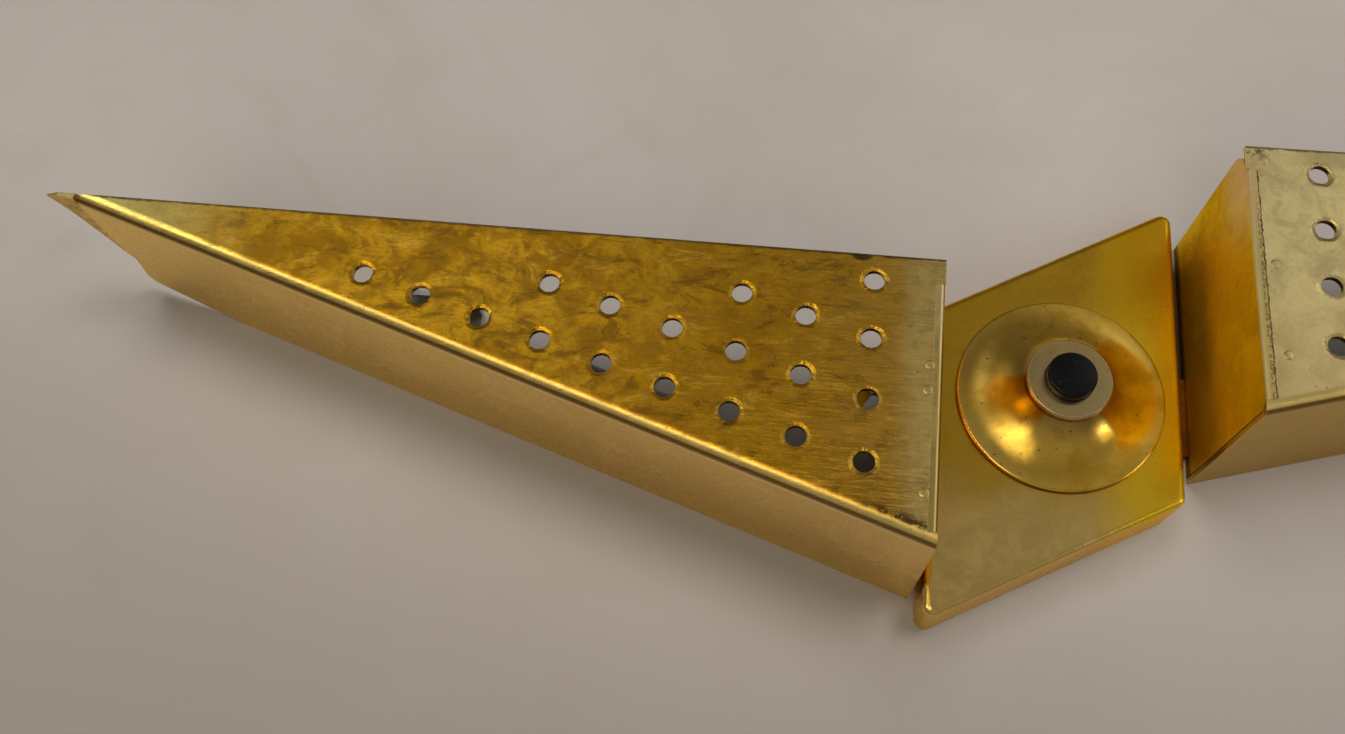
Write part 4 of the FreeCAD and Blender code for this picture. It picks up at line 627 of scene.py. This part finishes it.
MATERIALS = {
    "left_shade": brass("brass_left_shade", CLEAN, AMBER, OLIVE, spots=0.9, roughness=0.20,
                        patch_mm=8.0, worn=0.3, smears=0.72, tint=tint_left, punched="left"),
    "right_shade": brass("brass_right_shade", PALE, (0.78, 0.61, 0.27), (0.54, 0.42, 0.18),
                         spots=0.8, roughness=0.28, patch_mm=11.0, worn=0.5, lined=0.10,
                         tint=tint_right, punched="right"),
    "left_end_plate": brass("brass_left_end_plate", (0.86, 0.44, 0.012), (0.74, 0.35, 0.008),
                            AMBER, spots=0.4, roughness=0.22, patch_mm=16.0, worn=0.0,
                            lined=0.05, tint=strip_tint("left")),
    "right_end_plate": brass("brass_right_end_plate", (1.0, 0.70, 0.012), (0.94, 0.62, 0.010),
                             AMBER, spots=0.4, roughness=0.44, patch_mm=16.0, worn=0.4,
                             lined=0.04, tint=strip_tint("right")),
    "pan": brass("brass_pan", (0.75, 0.43, 0.028), (0.64, 0.35, 0.020), OLIVE, spots=0.3,
                 roughness=0.20, patch_mm=15.0, worn=0.7, lined=0.04, tint=pan_tint),
    "spine": brass("brass_spine", (0.34, 0.17, 0.03), (0.22, 0.10, 0.02), (0.16, 0.08, 0.02),
                   spots=0.7, roughness=0.34, patch_mm=9.0, worn=0.2),
    "tip": brass("brass_tip", (0.78, 0.58, 0.27), (0.62, 0.43, 0.18), (0.40, 0.25, 0.10),
                 spots=0.5, roughness=0.3, patch_mm=3.0, worn=0.3),
    "clip": brass("bronze_clip", (0.78, 0.62, 0.34), (0.60, 0.44, 0.20), (0.40, 0.28, 0.13),
                  spots=0.6, roughness=0.34, patch_mm=3.0, worn=0.5),
    "contact": brass("bronze_contact", (0.82, 0.50, 0.30), (0.66, 0.38, 0.20), (0.4, 0.22, 0.1),
                     spots=0.6, roughness=0.3, patch_mm=2.0),
    "rosette": spun_brass("brass_rosette", (0.90, 0.55, 0.08), (0.72, 0.41, 0.04), 0.15,
                          rubbed=0.2),
    "collar": spun_brass("brass_collar", (1.0, 0.86, 0.40), (0.92, 0.72, 0.28), 0.20,
                         rubbed=0.9),
    "turned": spun_brass("brass_turned", (0.82, 0.62, 0.26), (0.58, 0.42, 0.16), 0.28),
    "steel": steel("plated_steel", (0.62, 0.61, 0.58), (0.42, 0.41, 0.39)),
    "screw": steel("screw_steel", (0.66, 0.65, 0.62), (0.45, 0.44, 0.42), 0.28, rust=0.35),
    "spring": steel("spring_steel", (0.70, 0.70, 0.70), (0.50, 0.50, 0.50), 0.2, rust=0.1),
    "cap": steel("lamp_cap_metal", (0.80, 0.79, 0.76), (0.66, 0.65, 0.62), 0.22, rust=0.06),
    "wire": steel("filament_wire", (0.42, 0.42, 0.45), (0.26, 0.26, 0.29), 0.3, rust=0.0),
    "button": moulding("black_phenolic", (0.002, 0.002, 0.002), (0.004, 0.003, 0.003), 0.16,
                       grain_mm=0.9, depth=0.03, dusty=0.03, shine=0.2),
    "brown": moulding("brown_phenolic", (0.050, 0.024, 0.014), (0.085, 0.042, 0.024), 0.38,
                      gloss=0.2),
    "cream": moulding("cream_urea", (0.62, 0.55, 0.42), (0.70, 0.64, 0.52), 0.36,
                      grain_mm=0.6, gloss=0.2),
    "lead": moulding("lead_rubber", (0.030, 0.024, 0.020), (0.055, 0.045, 0.038), 0.52,
                     grain_mm=0.35, depth=0.03),
    "board": fibre("fibre_sheet"),
    "glass": glass("lamp_glass"),
    "solder": solder("soft_solder", (0.60, 0.52, 0.38), (0.12, 0.075, 0.035)),
    "left_seam": solder("seam_left", (0.84, 0.61, 0.19), (0.66, 0.46, 0.13)),
    "right_seam": solder("seam_right", (0.34, 0.23, 0.09), (0.10, 0.06, 0.025)),
}

# Which look each CAD node takes: the nodes in the middle, then those of each wing.
CENTRE_LOOKS = {
    "center_pan": "pan",
    "rosette": "rosette",
    "collar_nut": "collar",
    "switch_bush": "turned",
    "lock_washer": "steel",
    "switch_nut": "turned",
    "switch_housing": "brown",
    "switch_base": "brown",
    "switch_contacts": "contact",
    "contact_rotor": "brown",
    "contact_bridge": "contact",
    "push_button": "button",
    "return_spring": "spring",
    "spine_bar": "spine",
    "spine_nuts": "screw",
    "pan_pillars": "turned",
    "terminal_block": "cream",
    "terminal_inserts": "turned",
    "terminal_screws": "screw",
    "block_bush": "turned",
    "block_screw": "screw",
    "switch_lead": "lead",
    "wing_screws": "screw",
    "pan_screws": "screw",
}
WING_LOOKS = {
    "tip_cap": "tip",
    "hanger_strap": "steel",
    "lamp_board": "board",
    "board_studs": "turned",
    "board_nuts": "screw",
    "clip_rivets": "turned",
    "lamp_clips": "clip",
    "lamp_glass": "glass",
    "lamp_caps": "cap",
    "lamp_filament": "wire",
    "lamp_leads": "lead",
}


def paint(thing, look):
    """Gives a CAD node one look in place of its own material."""
    thing.data.materials.clear()
    thing.data.materials.append(MATERIALS[look])


for node, look in CENTRE_LOOKS.items():
    paint(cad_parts[node], look)
for side in WINGS:
    for node in ("shade", "end_plate"):
        paint(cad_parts[f"{side}_{node}"], f"{side}_{node}")
    for node, look in WING_LOOKS.items():
        paint(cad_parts[f"{side}_{node}"], look)


# ----------------------------------------------------------------- pieces


def to_mesh(name, shape):
    """The shape as a mesh whose faces all look outwards."""
    mesh = bpy.data.meshes.new(name)
    bmesh.ops.recalc_face_normals(shape, faces=shape.faces)
    shape.to_mesh(mesh)
    shape.free()
    return mesh


def piece(name, shape, look):
    """A finished shape as a smooth piece that rides on the light."""
    mesh = to_mesh(name, shape)
    thing = bpy.data.objects.new(name, mesh)
    bpy.context.scene.collection.objects.link(thing)
    mesh.materials.append(MATERIALS[look])
    for polygon in mesh.polygons:
        polygon.use_smooth = True
    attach(thing, "light")
    return thing


def join_rings(shape, rings):
    """Faces between rings of equally many points, and across the first and the last."""
    sides = len(rings[0])
    for near, far in zip(rings, rings[1:]):
        for k in range(sides):
            following = (k + 1) % sides
            shape.faces.new((near[k], near[following], far[following], far[k]))
    shape.faces.new(rings[0])
    shape.faces.new(rings[-1])


def add_tube(shape, points, radii, sides=10, flat=1.0):
    """A closed tube along points (metres) with a radius for each; flat squashes it in Z."""
    side = Vector((0.0, 0.0, 1.0))
    rings = []
    for i, point in enumerate(points):
        ahead = points[min(i + 1, len(points) - 1)] - points[max(i - 1, 0)]
        ahead.normalize()
        across = ahead.cross(side)
        if across.length < 0.2:
            across = ahead.cross(Vector((0.0, 1.0, 0.0)))
        across.normalize()
        up = across.cross(ahead)
        ring = []
        for k in range(sides):
            turn = 2 * math.pi * k / sides
            spread = across * math.cos(turn) + up * math.sin(turn) * flat
            ring.append(shape.verts.new(point + spread * radii[i]))
        rings.append(ring)
    join_rings(shape, rings)


def wing_point(side, u, y, z):
    """The point u from the wing's wide end, y above its top edge and z off the wall."""
    end, top, hand = WINGS[side]
    return Vector(((end + hand * u) * MM, (top + y) * MM, z * MM))


def wall_point(side, s, d, z):
    """The point s along the sloping wall, d in from its outside and z off the wall."""
    end, top, hand = WINGS[side]
    x = end + hand * (s * math.cos(SLOPE) - d * math.sin(SLOPE))
    y = top - WING_WIDTH + s * math.sin(SLOPE) + d * math.cos(SLOPE)
    return Vector((x * MM, y * MM, z * MM))


# How far the middle of each seam's bead lies below the face, and how far it wanders.
SEAM_SUNK = {"left": 0.15, "right": 0.05}
SEAM_WANDER = {"left": 0.03, "right": 0.09}
# The seam's place from the wide end, its start below the top edge, its length, the
# steps along it and its radius.
SEAM_PLACE = 1.72
SEAM_START, SEAM_LENGTH = -5.3, 45.8
SEAM_STEPS = 90
BEAD = 0.13


def seam(side):
    """Soldered seam between the end plate's strip and the face's edge."""
    chance = random.Random(f"seam {side}")
    shape = bmesh.new()
    points, radii = [], []
    for i in range(SEAM_STEPS + 1):
        y = SEAM_START - SEAM_LENGTH * i / SEAM_STEPS
        u = SEAM_PLACE + chance.uniform(-1.0, 1.0) * SEAM_WANDER[side]
        points.append(wing_point(side, u, y, FACE - SEAM_SUNK[side]))
        radii.append((BEAD + chance.uniform(-0.05, 0.06)) * MM)
    add_tube(shape, points, radii, 8, 0.9)
    piece(f"{side}_seam_solder", shape, f"{side}_seam")


def add_dome(shape, centre, radius, height, sides=20, rings=4, sunk=0.03):
    """A low dome with a closed flat underside, its foot sunk a little into the face."""
    loops = []
    for r in range(rings + 1):
        share = r / (rings + 1)
        reach = radius * math.cos(share * math.pi / 2)
        lift = height * math.sin(share * math.pi / 2) - (sunk * MM if r == 0 else 0.0)
        loop = []
        for k in range(sides):
            turn = 2 * math.pi * k / sides
            spot = Vector((reach * math.cos(turn), reach * math.sin(turn), lift))
            loop.append(shape.verts.new(centre + spot))
        loops.append(loop)
    join_rings(shape, loops)


# Each weld pip's distance from the wide end and place below the top edge, and a
# pip's radius and height.
WELDS = {
    "left": ((2.3, -21.2), (2.5, -26.0), (2.5, -44.8)),
    "right": ((3.1, -2.9), (3.5, -24.9), (4.3, -42.8)),
}
PIP_RADIUS, PIP_HEIGHT = 0.95, 0.16


def weld_dimples(side):
    """Three pips where the lapped flange is spot-welded under the face."""
    shape = bmesh.new()
    for u, y in WELDS[side]:
        add_dome(shape, wing_point(side, u, y, FACE), PIP_RADIUS * MM, PIP_HEIGHT * MM)
    piece(f"{side}_weld_pips", shape, f"{side}_shade")


def add_blob(shape, centre, radius, chance, squash):
    """A lumpy closed bead of solder."""
    made = bmesh.ops.create_icosphere(shape, subdivisions=3, radius=1.0)
    lumps = [Vector([chance.uniform(-1, 1) for _ in range(3)]).normalized() for _ in range(5)]
    for vertex in made["verts"]:
        out = vertex.co.normalized()
        swell = 1.0 + 0.10 * sum(max(0.0, out.dot(lump)) ** 3 for lump in lumps)
        spot = Vector([out[i] * swell * squash[i] for i in range(3)])
        vertex.co = centre + spot * radius


# Solder where a lead meets a clip's tail, and where a stud stands on the side wall:
# the places along the wall, the distance in from it and the height.
TAILS, TAIL_IN, TAIL_HIGH = (46.1, 78.9), 4.3, 5.7
STUDS, STUD_IN, STUD_HIGH = (36.0, 89.0), 1.25, 16.6


def solder_joints(side):
    """Beads of solder on the clips' tails and the studs' feet."""
    chance = random.Random(f"joints {side}")
    shape = bmesh.new()
    for s in TAILS:
        centre = wall_point(side, s + 0.6, TAIL_IN, TAIL_HIGH)
        add_blob(shape, centre, 1.05 * MM, chance, (1.3, 0.8, 0.9))
    for s in STUDS:
        centre = wall_point(side, s + 1.4, STUD_IN, STUD_HIGH)
        add_blob(shape, centre, 0.6 * MM, chance, (1.6, 0.7, 1.2))
    piece(f"{side}_solder_joints", shape, "solder")


# Where the nose begins along the wall, and its seam's length across the face.
NOSE_START, NOSE_SEAM, NOSE_STEPS = 178.0, 1.30, 8


def nose_seam(side):
    """Dark soldered line across the face where the nose begins."""
    chance = random.Random(f"nose {side}")
    shape = bmesh.new()
    points, radii = [], []
    for i in range(NOSE_STEPS + 1):
        d = max(-0.02 + NOSE_SEAM * i / NOSE_STEPS, 0.35)
        s = NOSE_START + chance.uniform(-0.05, 0.05)
        points.append(wall_point(side, s, d, FACE - 0.04))
        radii.append((0.12 + chance.uniform(-0.03, 0.04)) * MM)
    add_tube(shape, points, radii, 8, 0.9)
    piece(f"{side}_nose_seam", shape, "right_seam")


# The lamp's axis in from the side wall and up from the wall plane, the coil's ends
# along it, its mean radius, turns and sag, the two wires' radii and the supports'
# outer ends.
LAMP_IN, LAMP_UP = 10.8, 14.0
COIL_START, COIL_END = 49.5, 75.5
COIL_ROUND, COIL_TURNS, COIL_STEPS = 0.42, 34, 12
COIL_SAG = 1.1
COIL_WIRE, SUPPORT_WIRE = 0.09, 0.16
SUPPORT_START, SUPPORT_END = 46.3, 78.7


def filament(side):
    """Coiled tungsten on two bent supports, in place of the CAD's straight rod."""
    shape = bmesh.new()
    points = []
    for i in range(COIL_TURNS * COIL_STEPS + 1):
        share = i / (COIL_TURNS * COIL_STEPS)
        turn = 2 * math.pi * i / COIL_STEPS
        s = COIL_START + (COIL_END - COIL_START) * share
        sag = -COIL_SAG * math.sin(share * math.pi)
        d = LAMP_IN + COIL_ROUND * math.cos(turn)
        points.append(wall_point(side, s, d, LAMP_UP + sag + COIL_ROUND * math.sin(turn)))
    add_tube(shape, points, [COIL_WIRE * MM] * len(points), 6)
    for start, end in ((SUPPORT_START, COIL_START), (SUPPORT_END, COIL_END)):
        support = [
            wall_point(side, start, LAMP_IN, LAMP_UP),
            wall_point(side, (start + end) / 2, LAMP_IN, LAMP_UP + 0.2),
            wall_point(side, end, LAMP_IN + COIL_ROUND, LAMP_UP),
        ]
        add_tube(shape, support, [SUPPORT_WIRE * MM] * len(support), 8)
    made = piece(f"{side}_filament_coil", shape, "wire")
    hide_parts(f"{side}_lamp_filament")


# The corner fillet's place along the wall and in from it, its foot, its height, the
# steps up it and its radius.
FILLET_PLACE, FILLET_IN = 1.75, 1.15
FILLET_LOW, FILLET_HEIGHT = 4.0, 32.0
FILLET_STEPS = 39
FILLET = 0.55


def plate_fillet(side):
    """Solder run in the corner where the end plate meets the side wall inside."""
    chance = random.Random(f"fillet {side}")
    shape = bmesh.new()
    points, radii = [], []
    for i in range(FILLET_STEPS + 1):
        z = FILLET_LOW + FILLET_HEIGHT * i / FILLET_STEPS
        points.append(wall_point(side, FILLET_PLACE, FILLET_IN, z))
        radii.append((FILLET + chance.uniform(-0.12, 0.16)) * MM)
    add_tube(shape, points, radii, 10)
    piece(f"{side}_corner_solder", shape, "solder")


# The return spring's ends, its mean radius and wire radius, its turns with the
# closed ones at each end, and the steps in each turn.
SPRING_LOW, SPRING_TOP = 11.24, 19.61
SPRING_ROUND, SPRING_WIRE = 4.0, 0.35
SPRING_TURNS, SPRING_CLOSED, SPRING_STEPS = 6.0, 1.0, 28


def coil_spring():
    """Spring with closed end coils."""
    shape = bmesh.new()
    low, top = SPRING_LOW + SPRING_WIRE, SPRING_TOP - SPRING_WIRE
    end_rise = 2.1 * SPRING_WIRE
    points = []
    for i in range(round(SPRING_TURNS * SPRING_STEPS) + 1):
        turn = i / SPRING_STEPS
        if turn < SPRING_CLOSED:
            z = low + end_rise * max(0.0, turn / SPRING_CLOSED) ** 2
        elif turn > SPRING_TURNS - SPRING_CLOSED:
            z = top - end_rise * max(0.0, (SPRING_TURNS - turn) / SPRING_CLOSED) ** 2
        else:
            share = (turn - SPRING_CLOSED) / (SPRING_TURNS - 2 * SPRING_CLOSED)
            z = low + end_rise + (top - low - 2 * end_rise) * share
        around = 2 * math.pi * turn
        x, y = SPRING_ROUND * math.cos(around), SPRING_ROUND * math.sin(around)
        points.append(Vector((x, y, z)) * MM)
    add_tube(shape, points, [SPRING_WIRE * MM] * len(points), 10)
    made = piece("return_spring_coil", shape, "spring")
    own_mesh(made)
    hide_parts("return_spring")


# The contact tails' distance from the button's axis, and their solder's height.
CONTACT_TAIL, CONTACT_HIGH = 8.0, 1.75


def switch_joints():
    """Solder on the two contact tails under the switch."""
    chance = random.Random("switch joints")
    shape = bmesh.new()
    for way in (-1, 1):
        y = CONTACT_TAIL * way + 0.55 * way
        centre = Vector((0.0, y * MM, CONTACT_HIGH * MM))
        add_blob(shape, centre, 0.85 * MM, chance, (1.7, 0.7, 0.75))
    piece("switch_solder", shape, "solder")


for side in WINGS:
    seam(side)
    weld_dimples(side)
    solder_joints(side)
    nose_seam(side)
    filament(side)
    plate_fillet(side)
coil_spring()
switch_joints()


# ------------------------------------------------------------------ stage

# Half the table's width, and its drop below the wall plane so that they don't touch.
TABLE_HALF, TABLE_DROP = 2.5, 0.00005


def floor():
    """The pale table that the light lies on."""
    shape = bmesh.new()
    bmesh.ops.create_grid(shape, x_segments=2, y_segments=2, size=TABLE_HALF)
    mesh = to_mesh("table_top", shape)
    mesh.materials.append(table_top("table_top"))
    thing = bpy.data.objects.new("table_top", mesh)
    thing.location = (0.0, 0.0, -TABLE_DROP)
    bpy.context.scene.collection.objects.link(thing)


# The room as the metal mirrors it: soft patches of light as direction, sharpness,
# colour and strength. The table and the plastics are lit by the area lights alone.
ROOM = (0.148, 0.139, 0.126)
PATCHES = (
    ((-0.30, 0.42, 0.86), 52.0, (0.96, 1.00, 1.10), 0.58),
    ((-0.70, 0.46, 0.54), 40.0, (0.98, 1.00, 0.88), 0.65),
    ((0.62, 0.42, 0.66), 16.0, (0.96, 1.00, 1.08), 0.86),
    ((0.20, -0.75, 0.63), 3.0, (1.0, 0.96, 0.90), 0.14),
    ((0.87, -0.25, 0.40), 90.0, (1.0, 1.0, 1.0), 4.0),
)
# Long lamps overhead: each one's middle as x and y of its direction, how far it is
# turned, its half width and length, its colour and its strength.
LAMPS = (
    ((-0.28, -0.20), 0.585, (0.26, 0.48), (1.0, 0.86, 0.54), 1.9),
    ((-0.66, -0.06), 0.30, (0.22, 0.36), (1.0, 1.02, 0.70), 2.0),
)


def room():
    """The world that the metal mirrors, which lights nothing else."""
    world = bpy.data.worlds.new("room")
    bpy.context.scene.world = world
    world.use_nodes = True
    world.cycles_visibility.diffuse = False
    t = Tree(world.node_tree)
    look = t.add("ShaderNodeTexCoord", out=0)
    color = ROOM
    for direction, sharpness, tone, strength in PATCHES:
        facing = t.math("MAXIMUM", t.dot(look, tuple(Vector(direction).normalized())), 0.0)
        glow = t.times(t.math("POWER", facing, sharpness), strength)
        patch = t.add("ShaderNodeVectorMath", {0: tone, 3: glow}, operation="SCALE")
        color = t.vector("ADD", color, patch)
    above = t.step(t.split(look)[2], 0.15, 0.45)
    for (x, y), turn, (wide, long), tone, strength in LAMPS:
        offset = t.vector("SUBTRACT", look, (x, y, 0.0))
        across = t.dot(offset, (math.cos(turn) / wide, -math.sin(turn) / wide, 0.0))
        along = t.dot(offset, (math.sin(turn) / long, math.cos(turn) / long, 0.0))
        glow = t.times(t.step(t.length(across, along), 1.0, 0.35, 0.0, strength), above)
        patch = t.add("ShaderNodeVectorMath", {0: tone, 3: glow}, operation="SCALE")
        color = t.vector("ADD", color, patch)
    background = t.add("ShaderNodeBackground", {"Color": color, "Strength": 1.0})
    t.add("ShaderNodeOutputWorld", {"Surface": background})


# The area lights: name, place, width, power in watts and colour.
LIGHTS = (
    ("ceiling", (0.24, 0.10, 0.86), 0.35, 3.0, (1.0, 0.968, 0.945)),
    ("fill", (-0.10, -0.90, 0.75), 1.2, 5.2, (1.0, 0.955, 0.908)),
    ("window", (-0.25, 0.60, 1.55), 0.8, 6.9, (1.0, 0.972, 0.955)),
)


def soft_light(name, place, size, power, color):
    """A large area light that shapes the shadows but isn't seen in the brass."""
    light = bpy.data.lights.new(name, "AREA")
    light.shape = "DISK"
    light.size = size
    light.energy = power
    light.color = color
    thing = bpy.data.objects.new(name, light)
    thing.location = place
    thing.rotation_euler = (-Vector(place)).to_track_quat("-Z", "Y").to_euler()
    thing.visible_glossy = False
    bpy.context.scene.collection.objects.link(thing)


# The camera's place and its three directions, its lens in millimetres on a 36 mm
# sensor, and the nearest and farthest it sees.
CAMERA = (-0.05284, -0.09241, 0.22926)
RIGHT = Vector((0.991017, 0.119899, -0.059248))
DOWN = Vector((0.086923, -0.914134, -0.395984))
AHEAD = Vector((-0.101639, 0.387277, -0.916344))
SENSOR, LENS = 36.0, 30.99
CLOSEST, FARTHEST = 0.01, 20.0


def camera():
    """The camera at its place above and before the light, looking down on it."""
    data = bpy.data.cameras.new("camera")
    data.sensor_fit = "HORIZONTAL"
    data.sensor_width = SENSOR
    data.lens = LENS
    data.clip_start = CLOSEST
    data.clip_end = FARTHEST
    thing = bpy.data.objects.new("camera", data)
    turn = Matrix((RIGHT, -DOWN, -AHEAD)).transposed()
    thing.matrix_world = Matrix.Translation(CAMERA) @ turn.to_4x4()
    bpy.context.scene.collection.objects.link(thing)
    bpy.context.scene.camera = thing


floor()
room()
for light in LIGHTS:
    soft_light(*light)
camera()
bpy.context.scene.view_settings.view_transform = "Standard"
